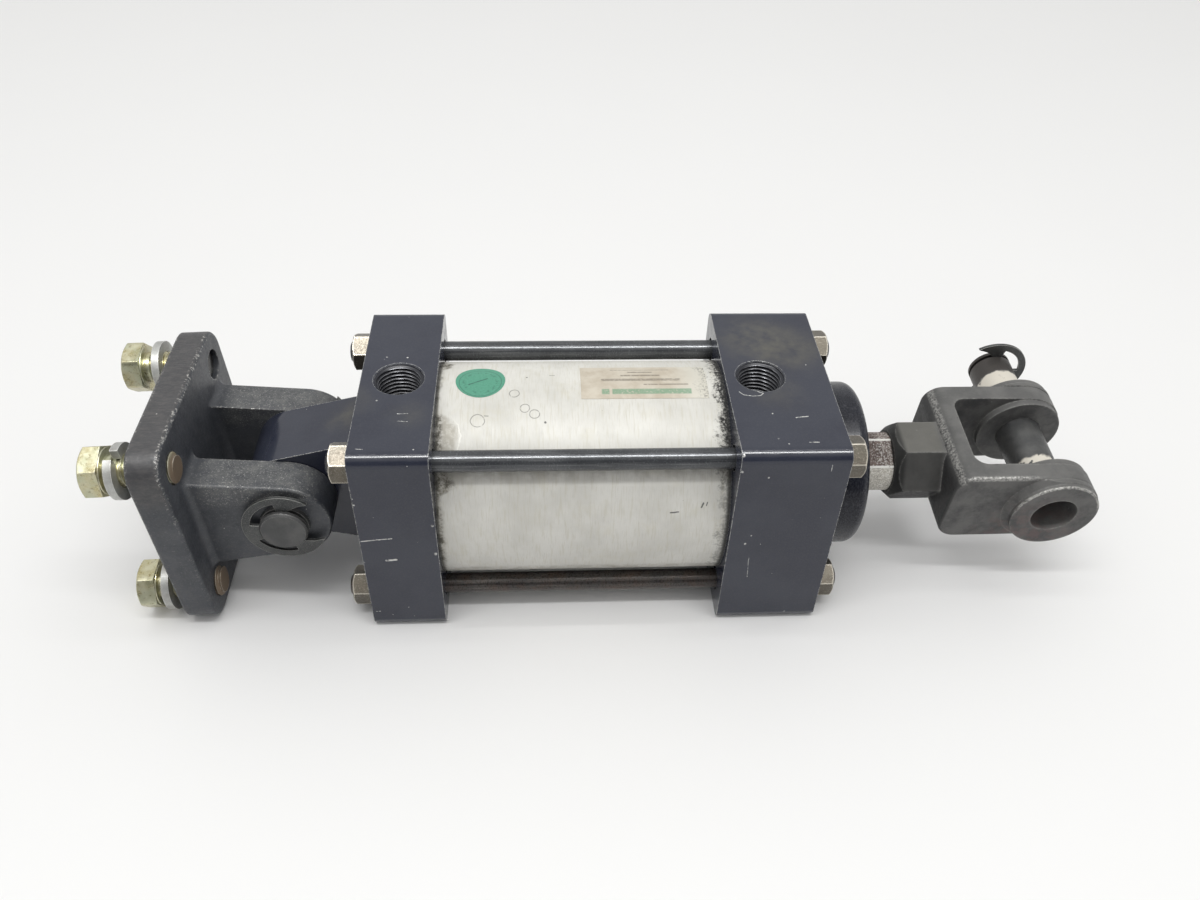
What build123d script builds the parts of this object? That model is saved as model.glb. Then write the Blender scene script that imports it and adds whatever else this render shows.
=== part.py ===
"""Tie-rod pneumatic cylinder with a rear clevis bracket and a rod clevis.

Millimetres. +X runs from the bracket to the rod clevis, +Z is up. The origin is the centre
of the rear cap's underside. Sub-parts are made about the cylinder axis (y = z = 0) and are
lifted to the axis height when they are placed.
"""
from build123d import *
from math import acos, atan2, cos, degrees, hypot, radians, sin, sqrt, tan
import os

# ---------------------------------------------------------------- driving dimensions
INCH = 25.4
BORE_R = 3.25 * INCH / 2
STROKE = 3.0 * INCH
ROD_R = 1.0 * INCH / 2
SQUARE = 3.75 * INCH
AXIS_HEIGHT = SQUARE / 2
CAP_LENGTH = 30.0
HEAD_LENGTH = 42.0
BARREL_LENGTH = 115.0
TUBE_R = 3.5 * INCH / 2
TIE_SPACING = 2.76 * INCH
EDGE_RADIUS = 4.7
FIT = 0.05
HEX_FACE_SHARE = 0.97
HEX_TOP_ANGLE = 30.0

# stations along the axis
CAP_REAR = -CAP_LENGTH / 2
CAP_FACE = CAP_LENGTH / 2
HEAD_FACE = CAP_FACE + BARREL_LENGTH
HEAD_FRONT = HEAD_FACE + HEAD_LENGTH

# tube register and seals
REGISTER = 2.5
TUBE_SEAL = 1.5
TUBE_SEAL_PLAY = 0.1

# ports, 1/2 NPT, facing up
PORT_R = 9.75
PORT_DEPTH = 20.0
PORT_CHAMFER = 0.45
PORT_DRILL_R = 6.5
PORT_POINT_ANGLE = 31.0
HEAD_PORT_INSET = 14.4
CHAMBER_R = 20.6
CAP_CHAMBER = 21.0
HEAD_CHAMBER = 20.0
DRILL_OVERLAP = 3.0

# tie rods, 3/8-24
TIE_R = 4.2
TIE_THREAD_R = 3 / 8 * INCH / 2
TIE_HOLE_R = 5.2
TIE_THREAD = 25.0
TIE_PROUD = 1.4
TIE_TIP_CHAMFER = 0.9
TIE_NUT = 8.2
TIE_NUT_AF = 9 / 16 * INCH
REAR_NUT_TURNS = {"front_top": 27.0, "front_bottom": 40.0, "back_top": 34.0, "back_bottom": 8.0}
FRONT_NUT_TURNS = {"front_top": 42.0, "front_bottom": 36.0, "back_top": 44.0, "back_bottom": 15.0}

# rear eye, bracket and pivot pin
PIN_R = 0.75 * INCH / 2
PIVOT_X = CAP_REAR - 1.25 * INCH
EYE_R = 19.3
EYE_HALF = 15.6
EYE_TAPER = 14.0
EYE_FILLET = 3.0
EAR_R = 18.2
EAR_TAPER = 6.9
EAR_INNER = 15.9
EAR_OUTER = 31.75
FLANGE = 91.0
FLANGE_THICK = 12.7
FLANGE_CORNER = 11.0
FLANGE_RIM_ROUND = 1.6
FLANGE_BACK_CHAMFER = 0.8
EAR_CHAMFER = 0.7
EAR_FILLET = 3.4
FLANGE_CORNER_ZONE = 8.0
BRACKET_DEPTH = 1.875 * INCH
FLOOR_GAP = 0.05
BOLT_SPACING = 2.55 * INCH
BOLT_R = 0.5 * INCH / 2
BOLT_LENGTH = 1.0 * INCH
BOLT_HEAD_AF = 0.75 * INCH
BOLT_HEAD = 5 / 16 * INCH
BOLT_TIP_CHAMFER = 1.0
BOLT_COLLAR = 0.4
BOLT_PROUD = {"front_top": 1.6, "front_bottom": 2.6, "back_top": -1.6, "back_bottom": 0.9}
BOLT_TURNS = {"front_top": 20.0, "front_bottom": 4.0, "back_top": 12.0, "back_bottom": 27.0}
WASHER_PLACES = {"front_top": 4.4, "front_bottom": 3.4, "back_top": 6.0, "back_bottom": 2.0}
WASHER_TURNS = {"front_top": 205.0, "front_bottom": 120.0, "back_top": 300.0, "back_bottom": 20.0}
WASHER_R = 11.0
WASHER_HOLE_R = 6.7
WASHER_THICK = 3.1
WASHER_SPREAD = 1.5
WASHER_TURN = 1.06
WASHER_DROP = 0.33

# retaining rings and pins
RING_R = 16.5
RING_THICK = 1.3
RING_GROOVE = 1.5
RING_MOUTH = 0.95
RING_PRONG = 48.0
RING_SLOT_FROM = 87.0
RING_SLOT_TO = 160.0
RING_SLOT_R = 13.3
RING_BREAK = 85.0
GROOVE_R = 7.4
PIN_END = 37.4
GROOVE_FACE = 33.7
PIN_CHAMFER = 0.8
FRONT_RING_MOUTH = 10.0
BACK_RING_MOUTH = 75.0
CLEVIS_RING_MOUTH = 162.0

# front gland
RETAINER_R = 2.75 * INCH / 2
RETAINER_LENGTH = 17.3
RETAINER_ROUND = 4.5
BUSHING_R = 17.5
BUSHING_FLANGE_R = 21.0
BUSHING_FLANGE = 5.0
BUSHING_SET_BACK = 0.5
SEAL_SEAT = 6.2
LIP_R = 13.6
LIP_LENGTH = 2.0
SEAL_PLAY = 0.2
SEAL_LIP_INNER = 1.8
SEAL_LIP_OUTER = 3.2
WIPER_SET_BACK = 0.3
WIPER_LIP = 1.6
WIPER_LIP_WIDE = 2.6
WIPER_LIP_THIN = 0.9
GLAND_RING_INSET = 10.0
GLAND_RING = 3.2
GLAND_RING_DEPTH = 2.2
GLAND_RING_PLAY = 0.3
GLAND_RING_SQUEEZE = 0.1
GLAND_RING_CORNER = 0.7
SCREW_CIRCLE_R = 27.5
SCREW_R = 1 / 8 * INCH
SCREW_HEAD_R = 3 / 16 * INCH
SCREW_HEAD = 1 / 4 * INCH
SCREW_LENGTH = 22.0
SCREW_SINK = 6.8
SCREW_SOCKET_AF = 3 / 16 * INCH
SCREW_HOLE_PLAY = 0.2
SCREW_SINK_PLAY = 0.25
SCREW_HEAD_ROUND = 0.5

# piston rod and piston
SHOULDER = HEAD_FRONT + 33.8
FLAT_AF = 7 / 8 * INCH
FLAT_LENGTH = 12.7
FLAT_TURN = 30.0
STUD_R = 0.75 * INCH / 2
STUD_LENGTH = 1.125 * INCH
STUD_CHAMFER = 1.2
STUD_SET_BACK = 0.6
THREAD_RUN_OUT = 0.5
PISTON_CLEARANCE = 0.4
PISTON_R = BORE_R - PISTON_CLEARANCE
PISTON_LENGTH = BARREL_LENGTH - STROKE - 2 * PISTON_CLEARANCE
PISTON_NUT = 10.0
PISTON_NUT_AF = 1.125 * INCH
PISTON_NUT_SINK_R = 17.5
PISTON_NUT_GAP = 1.0
PISTON_SEAL = 6.0
PISTON_SEAL_DEPTH = 6.2
PISTON_SEAL_INSET = 5.0
PISTON_SEAL_WALL = 1.6
WEAR_BAND = 9.0
WEAR_BAND_DEPTH = 2.6
SEAL_CLEARANCE = 0.08

# rod clevis
CLEVIS_TURN = 6.0
CLEVIS_REACH = 65.2
HEX_AF = 1.2 * INCH
HEX_CHAMFER_R = 13.8
HEX_CHAMFER_ANGLE = 42.0
FORK_START = 20.3
FORK_FLOOR = 30.0
FORK_HALF = 19.05
FORK_ROUND = 8.5
FORK_EDGE = 1.3
SLOT_CORNER = 5.5
ARM_OUTER = 27.3
ARM_INNER = 19.0
BOSS_OUTER = 31.75
BOSS_INNER = 15.9
EYE_END_R = 18.7
BOSS_R = 18.2
BOSS_FLARE = 2.4
CLEVIS_PIN_SHIFT = 22.5

# label and sticker on the tube
LABEL_X = 72.0
LABEL_LENGTH = 51.0
LABEL_FROM = 78.5
LABEL_TO = 106.0
LABEL_THICK = 0.15
STICKER_X = 31.9
STICKER_ANGLE = 93.0
STICKER_R = 9.9

# bore-side directions of the four corners, seen from the rod end
CORNERS = {"front_top": (-1, 1), "front_bottom": (-1, -1), "back_top": (1, 1), "back_bottom": (1, -1)}


# ---------------------------------------------------------------- small helpers
def rod_x(start, end, radius, y=0.0, z=0.0):
    """A cylinder along X from start to end."""
    place = Pos((start + end) / 2, y, z) * Rot(0, 90, 0)
    return place * Cylinder(radius, end - start)


def ring_x(start, end, outer, inner):
    """A plain ring about the X axis."""
    return rod_x(start, end, outer) - rod_x(start - 1, end + 1, inner)


def rod_y(start, end, radius, x=0.0, z=0.0):
    """A cylinder along Y from start to end."""
    place = Pos(x, (start + end) / 2, z) * Rot(90, 0, 0)
    return place * Cylinder(radius, end - start)


def rod_z(start, end, radius, x=0.0, y=0.0):
    """A cylinder along Z from start to end."""
    return Pos(x, y, (start + end) / 2) * Cylinder(radius, end - start)


def block(x0, x1, y0, y1, z0, z1):
    """A box between two corners."""
    return Pos((x0 + x1) / 2, (y0 + y1) / 2, (z0 + z1) / 2) * Box(x1 - x0, y1 - y0, z1 - z0)


def hexagon_x(start, end, across_flats, turn, y=0.0, z=0.0):
    """A hexagonal prism along X; turn 0 puts a corner on the +Y side."""
    outline = RegularPolygon(across_flats / sqrt(3), 6, rotation=turn)
    solid = extrude(Plane.YZ * outline, end - start)
    return Pos(start, y, z) * solid


def chamfered_hexagon(start, end, across_flats, turn, y=0.0, z=0.0, ends="both"):
    """A hexagon along X whose corners are turned off at 30 degrees at its ends."""
    corner = across_flats / sqrt(3)
    flat = across_flats / 2 * HEX_FACE_SHARE
    drop = (corner - flat) * tan(radians(HEX_TOP_ANGLE))
    left = drop if ends in ("both", "start") else 0.0
    right = drop if ends in ("both", "end") else 0.0
    length = end - start
    points = [(0, 0), (0, flat if left else corner), (left, corner), (length - right, corner)]
    points += [(length, flat if right else corner), (length, 0)]
    points = [p for i, p in enumerate(points) if i == 0 or p != points[i - 1]]
    turned = revolve(make_face(Polyline(*points, close=True)), Axis.X)
    return hexagon_x(start, end, across_flats, turn, y, z) & (Pos(start, y, z) * turned)


def corner_places(spacing):
    """Name, y and z of the four corner positions."""
    return [(name, sy * spacing / 2, sz * spacing / 2) for name, (sy, sz) in CORNERS.items()]


def edges_along(shape, axis):
    """The straight edges of a shape that run along an axis."""
    return shape.edges().filter_by(axis)


def tapered_eye(radius, reach, taper, start_y, end_y):
    """An eye about the Y axis: a round end joined by tangent sides to a wall at x = reach."""
    side = 1 if reach > 0 else -1
    touch_x = -side * radius * sin(radians(taper))
    touch_z = radius * cos(radians(taper))
    wall_z = (radius + abs(reach) * sin(radians(taper))) / cos(radians(taper))
    tip = ThreePointArc((touch_x, touch_z), (-side * radius, 0), (touch_x, -touch_z))
    sides = Polyline((touch_x, -touch_z), (reach, -wall_z), (reach, wall_z), (touch_x, touch_z))
    outline = make_face(tip + sides)
    solid = extrude(Plane.XZ * outline, end_y - start_y)
    return Pos(0, end_y, 0) * solid


def bracket_swing():
    """Swing about +Y that brings the flange's lower edge to the surface the cylinder lies on."""
    reach = hypot(BRACKET_DEPTH, FLANGE / 2)
    lean = atan2(BRACKET_DEPTH, FLANGE / 2)
    return degrees(acos((AXIS_HEIGHT - FLOOR_GAP) / reach) - lean)


# ---------------------------------------------------------------- barrel
def end_block(start, end, bore_side):
    """A square head with tie-rod holes and the register for the tube on its bore side."""
    body = block(start, end, -SQUARE / 2, SQUARE / 2, -SQUARE / 2, SQUARE / 2)
    body = fillet(edges_along(body, Axis.X), EDGE_RADIUS)
    for _, y, z in corner_places(TIE_SPACING):
        body -= rod_x(start - 1, end + 1, TIE_HOLE_R, y, z)
    depth = REGISTER + TUBE_SEAL
    wall = end if bore_side > 0 else start
    first, last = sorted((wall - bore_side * depth, wall + bore_side))
    return body - ring_x(first, last, TUBE_R, BORE_R)


def port(x, chamber_top):
    """A threaded port from the top face, its drill point and the drilling on to the chamber."""
    top = SQUARE / 2
    floor = top - PORT_DEPTH
    point = (PORT_R - PORT_DRILL_R) * tan(radians(PORT_POINT_ANGLE))
    hole = rod_z(floor, top + 1, PORT_R, x)
    hole += Pos(x, 0, floor - point / 2) * Cone(PORT_DRILL_R, PORT_R, point)
    mouth = Pos(x, 0, top - PORT_CHAMFER / 2) * Cone(PORT_R, PORT_R + PORT_CHAMFER, PORT_CHAMFER)
    return hole + mouth + rod_z(chamber_top, floor + 1, PORT_DRILL_R, x)


def rear_cap():
    cap = end_block(CAP_REAR, CAP_FACE, 1)
    eye = tapered_eye(EYE_R, CAP_REAR - PIVOT_X, EYE_TAPER, -EYE_HALF, EYE_HALF)
    cap += Pos(PIVOT_X, 0, 0) * eye
    root = [e for e in edges_along(cap, Axis.Y) if abs(e.center().X - CAP_REAR) < 0.01]
    root = [e for e in root if abs(e.center().Z) < SQUARE / 2 - EDGE_RADIUS - 1]
    cap = fillet(root, EYE_FILLET)
    cap -= rod_y(-EYE_HALF - 1, EYE_HALF + 1, PIN_R + FIT, PIVOT_X)
    cap -= rod_x(CAP_FACE - CAP_CHAMBER, CAP_FACE + 1, CHAMBER_R)
    return cap - port(0, CHAMBER_R - DRILL_OVERLAP)


def front_head():
    head = end_block(HEAD_FACE, HEAD_FRONT, -1)
    head -= rod_x(HEAD_FACE - 1, HEAD_FACE + HEAD_CHAMBER, CHAMBER_R)
    head -= rod_x(HEAD_FACE, HEAD_FRONT + 1, BUSHING_R)
    for y, z in screw_places():
        head -= rod_x(HEAD_FRONT + RETAINER_LENGTH - SCREW_SINK - SCREW_LENGTH - 1,
                      HEAD_FRONT + 1, SCREW_R, y, z)
    return head - port(HEAD_FACE + HEAD_PORT_INSET, CHAMBER_R - DRILL_OVERLAP)


def barrel_tube():
    return ring_x(CAP_FACE - REGISTER, HEAD_FACE + REGISTER, TUBE_R, BORE_R)


def tube_seal(start):
    """Flat gasket at the bottom of a head's register."""
    return ring_x(start, start + TUBE_SEAL, TUBE_R - TUBE_SEAL_PLAY, BORE_R + TUBE_SEAL_PLAY)


def tie_rod(y, z):
    start = CAP_REAR - TIE_NUT - TIE_PROUD
    end = HEAD_FRONT + TIE_NUT + TIE_PROUD
    shank = rod_x(start + TIE_THREAD, end - TIE_THREAD, TIE_R, y, z)
    for first, last, tip in ((start, start + TIE_THREAD, start), (end - TIE_THREAD, end, end)):
        thread = rod_x(first, last, TIE_THREAD_R, y, z)
        edge = min(thread.edges(), key=lambda e: abs(e.center().X - tip))
        shank += chamfer(edge, TIE_TIP_CHAMFER)
    return shank


def tie_rod_nuts(start, turns):
    nuts = []
    for name, y, z in corner_places(TIE_SPACING):
        nut = chamfered_hexagon(start, start + TIE_NUT, TIE_NUT_AF, turns[name], y, z)
        nuts.append(nut - rod_x(start - 1, start + TIE_NUT + 1, TIE_THREAD_R, y, z))
    return Compound(nuts)


# ---------------------------------------------------------------- front gland
def screw_places():
    offset = SCREW_CIRCLE_R / sqrt(2)
    return [(sy * offset, sz * offset) for sy, sz in CORNERS.values()]


def gland_retainer():
    end = HEAD_FRONT + RETAINER_LENGTH
    plate = rod_x(HEAD_FRONT, end, RETAINER_R)
    rim = max(plate.edges(), key=lambda e: e.center().X)
    plate = fillet(rim, RETAINER_ROUND)
    flange_end = HEAD_FRONT + BUSHING_FLANGE
    seat_end = flange_end + SEAL_SEAT
    plate -= rod_x(HEAD_FRONT - 1, flange_end, BUSHING_FLANGE_R + FIT)
    plate -= rod_x(flange_end - 1, seat_end, BUSHING_R)
    plate -= rod_x(seat_end - 1, seat_end + LIP_LENGTH + 1, LIP_R)
    plate -= rod_x(seat_end + LIP_LENGTH, end + 1, BUSHING_R)
    for y, z in screw_places():
        plate -= rod_x(HEAD_FRONT - 1, end, SCREW_R + SCREW_HOLE_PLAY, y, z)
        plate -= rod_x(end - SCREW_SINK, end + 1, SCREW_HEAD_R + SCREW_SINK_PLAY, y, z)
    return plate


def retainer_screws():
    seat = HEAD_FRONT + RETAINER_LENGTH - SCREW_SINK
    screws = []
    for y, z in screw_places():
        head = rod_x(seat, seat + SCREW_HEAD, SCREW_HEAD_R, y, z)
        rim = max(head.edges(), key=lambda e: e.center().X)
        screw = fillet(rim, SCREW_HEAD_ROUND) + rod_x(seat - SCREW_LENGTH, seat, SCREW_R, y, z)
        screw -= hexagon_x(seat + SCREW_HEAD / 2, seat + SCREW_HEAD + 1, SCREW_SOCKET_AF, 0, y, z)
        screws.append(screw)
    return Compound(screws)


def rod_bushing():
    start = HEAD_FACE + HEAD_CHAMBER + BUSHING_SET_BACK
    sleeve = rod_x(start, HEAD_FRONT, BUSHING_R - FIT)
    sleeve += rod_x(HEAD_FRONT, HEAD_FRONT + BUSHING_FLANGE, BUSHING_FLANGE_R)
    sleeve -= rod_x(start - 1, HEAD_FRONT + BUSHING_FLANGE + 1, ROD_R + FIT)
    groove = start + GLAND_RING_INSET
    return sleeve - ring_x(groove, groove + GLAND_RING, BUSHING_R + 1, BUSHING_R - GLAND_RING_DEPTH)


def gland_seal_ring():
    groove = HEAD_FACE + HEAD_CHAMBER + BUSHING_SET_BACK + GLAND_RING_INSET
    inner = BUSHING_R - GLAND_RING_DEPTH
    section = Rectangle(GLAND_RING - GLAND_RING_PLAY, GLAND_RING_DEPTH - GLAND_RING_SQUEEZE)
    section = fillet(section.vertices(), GLAND_RING_CORNER)
    centre = Pos(groove + GLAND_RING / 2, inner + GLAND_RING_DEPTH / 2, 0)
    return revolve(centre * section, Axis.X)


def rod_seal():
    start = HEAD_FRONT + BUSHING_FLANGE
    seal = ring_x(start + SEAL_PLAY, start + SEAL_SEAT - SEAL_PLAY, BUSHING_R - FIT, ROD_R + FIT)
    return seal - ring_x(start, start + SEAL_SEAT / 2, ROD_R + SEAL_LIP_OUTER, ROD_R + SEAL_LIP_INNER)


def rod_wiper():
    start = HEAD_FRONT + BUSHING_FLANGE + SEAL_SEAT + LIP_LENGTH
    end = HEAD_FRONT + RETAINER_LENGTH - WIPER_SET_BACK
    body = rod_x(start, end - WIPER_LIP, BUSHING_R - FIT)
    cone = Cone(ROD_R + WIPER_LIP_WIDE, ROD_R + WIPER_LIP_THIN, WIPER_LIP)
    lip = Pos(end - WIPER_LIP / 2, 0, 0) * Rot(0, 90, 0) * cone
    return body + lip - rod_x(start - 1, end + 1, ROD_R + FIT)


# ---------------------------------------------------------------- label and sticker
def data_label():
    shell = ring_x(LABEL_X, LABEL_X + LABEL_LENGTH, TUBE_R + LABEL_THICK, TUBE_R)
    reach = 2 * TUBE_R
    mid = radians((LABEL_FROM + LABEL_TO) / 2)
    half = radians((LABEL_TO - LABEL_FROM) / 2)
    corners = [(-reach * cos(mid + t), reach * sin(mid + t)) for t in (-half, half)]
    wedge = make_face(Polyline((0, 0), corners[0], corners[1], close=True))
    cutter = extrude(Plane.YZ * wedge, LABEL_X + LABEL_LENGTH + 1)
    return shell & cutter


def inspection_sticker():
    shell = ring_x(STICKER_X - 2 * STICKER_R, STICKER_X + 2 * STICKER_R,
                   TUBE_R + LABEL_THICK, TUBE_R)
    punch = rod_z(TUBE_R / 2, TUBE_R * 2, STICKER_R, STICKER_X)
    return shell & (Rot(90 - STICKER_ANGLE, 0, 0) * punch)


# ---------------------------------------------------------------- piston and rod
def piston_rod():
    piston_start = CAP_FACE + PISTON_CLEARANCE
    piston_end = piston_start + PISTON_LENGTH
    rod = rod_x(piston_end, SHOULDER, ROD_R)
    for turn in (FLAT_TURN, FLAT_TURN + 180):
        flat = block(SHOULDER - FLAT_LENGTH, SHOULDER + 1, -ROD_R, ROD_R, FLAT_AF / 2, ROD_R + 1)
        rod -= Rot(turn, 0, 0) * flat
    rod += rod_x(piston_start + STUD_SET_BACK, piston_end, STUD_R)
    tip = rod_x(SHOULDER, SHOULDER + STUD_LENGTH, STUD_R)
    rim = max(tip.edges(), key=lambda e: e.center().X)
    return rod + chamfer(rim, STUD_CHAMFER)


def piston_grooves():
    """Start, end and depth of the piston's three grooves."""
    start = CAP_FACE + PISTON_CLEARANCE
    end = start + PISTON_LENGTH
    middle = (start + end) / 2
    return [
        (start + PISTON_SEAL_INSET, start + PISTON_SEAL_INSET + PISTON_SEAL, PISTON_SEAL_DEPTH),
        (middle - WEAR_BAND / 2, middle + WEAR_BAND / 2, WEAR_BAND_DEPTH),
        (end - PISTON_SEAL_INSET - PISTON_SEAL, end - PISTON_SEAL_INSET, PISTON_SEAL_DEPTH),
    ]


def piston():
    start = CAP_FACE + PISTON_CLEARANCE
    end = start + PISTON_LENGTH
    body = rod_x(start, end, PISTON_R)
    for first, last, depth in piston_grooves():
        body -= ring_x(first, last, PISTON_R + 1, PISTON_R - depth)
    body -= rod_x(start - 1, start + PISTON_NUT + PISTON_NUT_GAP, PISTON_NUT_SINK_R)
    return body - rod_x(start, end + 1, STUD_R)


def piston_nut():
    start = CAP_FACE + PISTON_CLEARANCE + PISTON_NUT_GAP
    nut = chamfered_hexagon(start, start + PISTON_NUT, PISTON_NUT_AF, 0)
    return nut - rod_x(start - 1, start + PISTON_NUT + 1, STUD_R)


def piston_seal(groove, mouth_side):
    """A lip seal; its groove for air opens towards mouth_side."""
    first, last, depth = groove
    inner = PISTON_R - depth + SEAL_CLEARANCE
    seal = ring_x(first + SEAL_CLEARANCE, last - SEAL_CLEARANCE, BORE_R - FIT, inner)
    mouth = first if mouth_side < 0 else last
    low, high = sorted((mouth + mouth_side, mouth - mouth_side * PISTON_SEAL / 2))
    return seal - ring_x(low, high, BORE_R - PISTON_SEAL_WALL, inner + PISTON_SEAL_WALL)


def piston_seals():
    grooves = piston_grooves()
    return Compound([piston_seal(grooves[0], -1), piston_seal(grooves[2], 1)])


def piston_wear_band():
    first, last, depth = piston_grooves()[1]
    inner = PISTON_R - depth + SEAL_CLEARANCE
    return ring_x(first + SEAL_CLEARANCE, last - SEAL_CLEARANCE, BORE_R - FIT, inner)


# ---------------------------------------------------------------- pins and rings
def grooved_pin():
    """A plain pin along Y with a ring groove near each end."""
    pin = rod_y(-PIN_END, PIN_END, PIN_R)
    rims = [e for e in pin.edges() if abs(abs(e.center().Y) - PIN_END) < 0.01]
    pin = chamfer(rims, PIN_CHAMFER)
    for side in (-1, 1):
        first, last = sorted((side * GROOVE_FACE, side * (GROOVE_FACE + RING_GROOVE)))
        pin -= rod_y(first, last, PIN_R + 1) - rod_y(first, last, GROOVE_R)
    return pin


def polar(radius, angle, side=1):
    """A point at an angle from +X, on the +Z or the -Z side."""
    return (radius * cos(radians(angle)), side * radius * sin(radians(angle)))


def retaining_ring(mouth_angle, broken):
    """An E-shaped ring in the XZ plane; its mouth opens at mouth_angle from +X towards +Z."""
    far = 2 * RING_R
    ring = Circle(RING_R) - Circle(GROOVE_R + FIT)
    half = (GROOVE_R + FIT) * RING_MOUTH
    low, high = polar(RING_SLOT_R, RING_PRONG, -1), polar(RING_SLOT_R, RING_PRONG)
    mouth = [(0, -half), low, (far, low[1]), (far, high[1]), high, (0, half)]
    ring -= make_face(Polyline(*mouth, close=True))
    middle = (RING_SLOT_FROM + RING_SLOT_TO) / 2
    for side in (-1, 1):
        fan = [(0, 0)] + [polar(far, angle, side) for angle in (RING_SLOT_FROM, middle, RING_SLOT_TO)]
        ring -= make_face(Polyline(*fan, close=True)) & Circle(RING_SLOT_R)
    if broken:
        ring -= make_face(Polyline((0, 0), (far, 0), polar(far, RING_BREAK), close=True))
    solid = extrude(Plane.XZ * ring, RING_THICK / 2, both=True)
    return Rot(0, -mouth_angle, 0) * solid


def ring_on_pin(side, mouth_angle, broken=False):
    """A ring in a pin's groove; a broken one has lost the prong on one side of its mouth."""
    centre = side * (GROOVE_FACE + RING_GROOVE / 2)
    return Pos(0, centre, 0) * retaining_ring(mouth_angle, broken)


def pivot_pin_rings():
    return Compound([ring_on_pin(-1, FRONT_RING_MOUTH), ring_on_pin(1, BACK_RING_MOUTH)])


# ---------------------------------------------------------------- rear bracket
def clevis_bracket():
    back = -BRACKET_DEPTH
    face = back + FLANGE_THICK
    half = FLANGE / 2
    flange = block(back, face, -half, half, -half, half)
    flange = fillet(edges_along(flange, Axis.X), FLANGE_CORNER)
    rims = [e for e in flange.edges() if abs(e.center().X - face) < 0.01]
    flange = fillet(rims, FLANGE_RIM_ROUND)
    rims = [e for e in flange.edges() if abs(e.center().X - back) < 0.01]
    body = chamfer(rims, FLANGE_BACK_CHAMFER)
    for side in (-1, 1):
        first, last = sorted((side * EAR_INNER, side * EAR_OUTER))
        ear = tapered_eye(EAR_R, face - 1, EAR_TAPER, first, last)
        rims = [e for e in ear.edges() if abs(e.center().Y - side * EAR_OUTER) < 0.01]
        rims = [e for e in rims if e.center().X > face]
        body += chamfer(rims, EAR_CHAMFER)
    joint = [e for e in body.edges() if abs(e.center().X - face) < 0.01 and on_ear_root(e)]
    body = fillet(joint, EAR_FILLET)
    body -= rod_y(-EAR_OUTER - 1, EAR_OUTER + 1, PIN_R + FIT)
    for _, y, z in corner_places(BOLT_SPACING):
        body -= rod_x(back - 1, face + 1, BOLT_R + FIT, y, z)
    return body


def on_ear_root(edge):
    """Whether an edge on the flange's face belongs to the foot of an ear."""
    centre = edge.center()
    return abs(centre.Y) < EAR_OUTER + 1 and abs(centre.Z) < FLANGE / 2 - FLANGE_CORNER_ZONE


def mounting_bolt(name, y, z):
    end = -BRACKET_DEPTH + FLANGE_THICK + BOLT_PROUD[name]
    seat = end - BOLT_LENGTH
    shank = rod_x(seat, end, BOLT_R, y, z)
    rim = max(shank.edges(), key=lambda e: e.center().X)
    shank = chamfer(rim, BOLT_TIP_CHAMFER)
    head = chamfered_hexagon(seat - BOLT_HEAD, seat, BOLT_HEAD_AF, BOLT_TURNS[name], y, z, "start")
    collar = rod_x(seat - 1, seat + BOLT_COLLAR, BOLT_HEAD_AF / 2 - BOLT_COLLAR, y, z)
    return head + collar + shank


def mounting_bolts():
    return Compound([mounting_bolt(*place) for place in corner_places(BOLT_SPACING)])


def lock_washer(name, y, z):
    """A split spring washer: one turn of square wire whose ends stand apart."""
    middle = (WASHER_R + WASHER_HOLE_R) / 2
    wide = WASHER_R - WASHER_HOLE_R
    pitch = WASHER_SPREAD * WASHER_TURN
    path = Helix(pitch, WASHER_SPREAD, middle)
    section = Plane.XZ * Pos(middle, 0) * Rectangle(wide, WASHER_THICK)
    coil = sweep(section, path, is_frenet=True)
    middle_x = -BRACKET_DEPTH - WASHER_PLACES[name] - WASHER_THICK / 2 - WASHER_SPREAD
    place = Pos(middle_x, y, z - WASHER_DROP)
    return place * Rot(WASHER_TURNS[name], 0, 0) * Rot(0, 90, 0) * coil


def lock_washers():
    return Compound([lock_washer(*place) for place in corner_places(BOLT_SPACING)])


# ---------------------------------------------------------------- rod clevis
def fork_profile(start_y, end_y):
    """The fork's side outline, from its rounded back to its round eye, as a slab along Y."""
    reach = CLEVIS_REACH
    back = FORK_START
    slab = block(back, reach, start_y, end_y, -FORK_HALF, FORK_HALF)
    rims = [e for e in edges_along(slab, Axis.Y) if e.center().X < back + 1]
    slab = fillet(rims, FORK_ROUND)
    neck = block(reach - FORK_HALF, reach + 1, start_y - 1, end_y + 1, -2 * FORK_HALF, 2 * FORK_HALF)
    return (slab - neck) + arm_end(start_y, end_y)


def arm_end(start_y, end_y):
    """The arm's last stretch, narrowing from its full height to the round eye."""
    root = CLEVIS_REACH - FORK_HALF
    lean = atan2(FORK_HALF - EYE_END_R, FORK_HALF)
    touch_x = CLEVIS_REACH + EYE_END_R * sin(lean)
    touch_z = EYE_END_R * cos(lean)
    tip = ThreePointArc((touch_x, touch_z), (CLEVIS_REACH + EYE_END_R, 0), (touch_x, -touch_z))
    sides = Polyline((touch_x, -touch_z), (root, -FORK_HALF), (root, FORK_HALF), (touch_x, touch_z))
    solid = extrude(Plane.XZ * make_face(tip + sides), end_y - start_y)
    return Pos(0, end_y, 0) * solid


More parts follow.
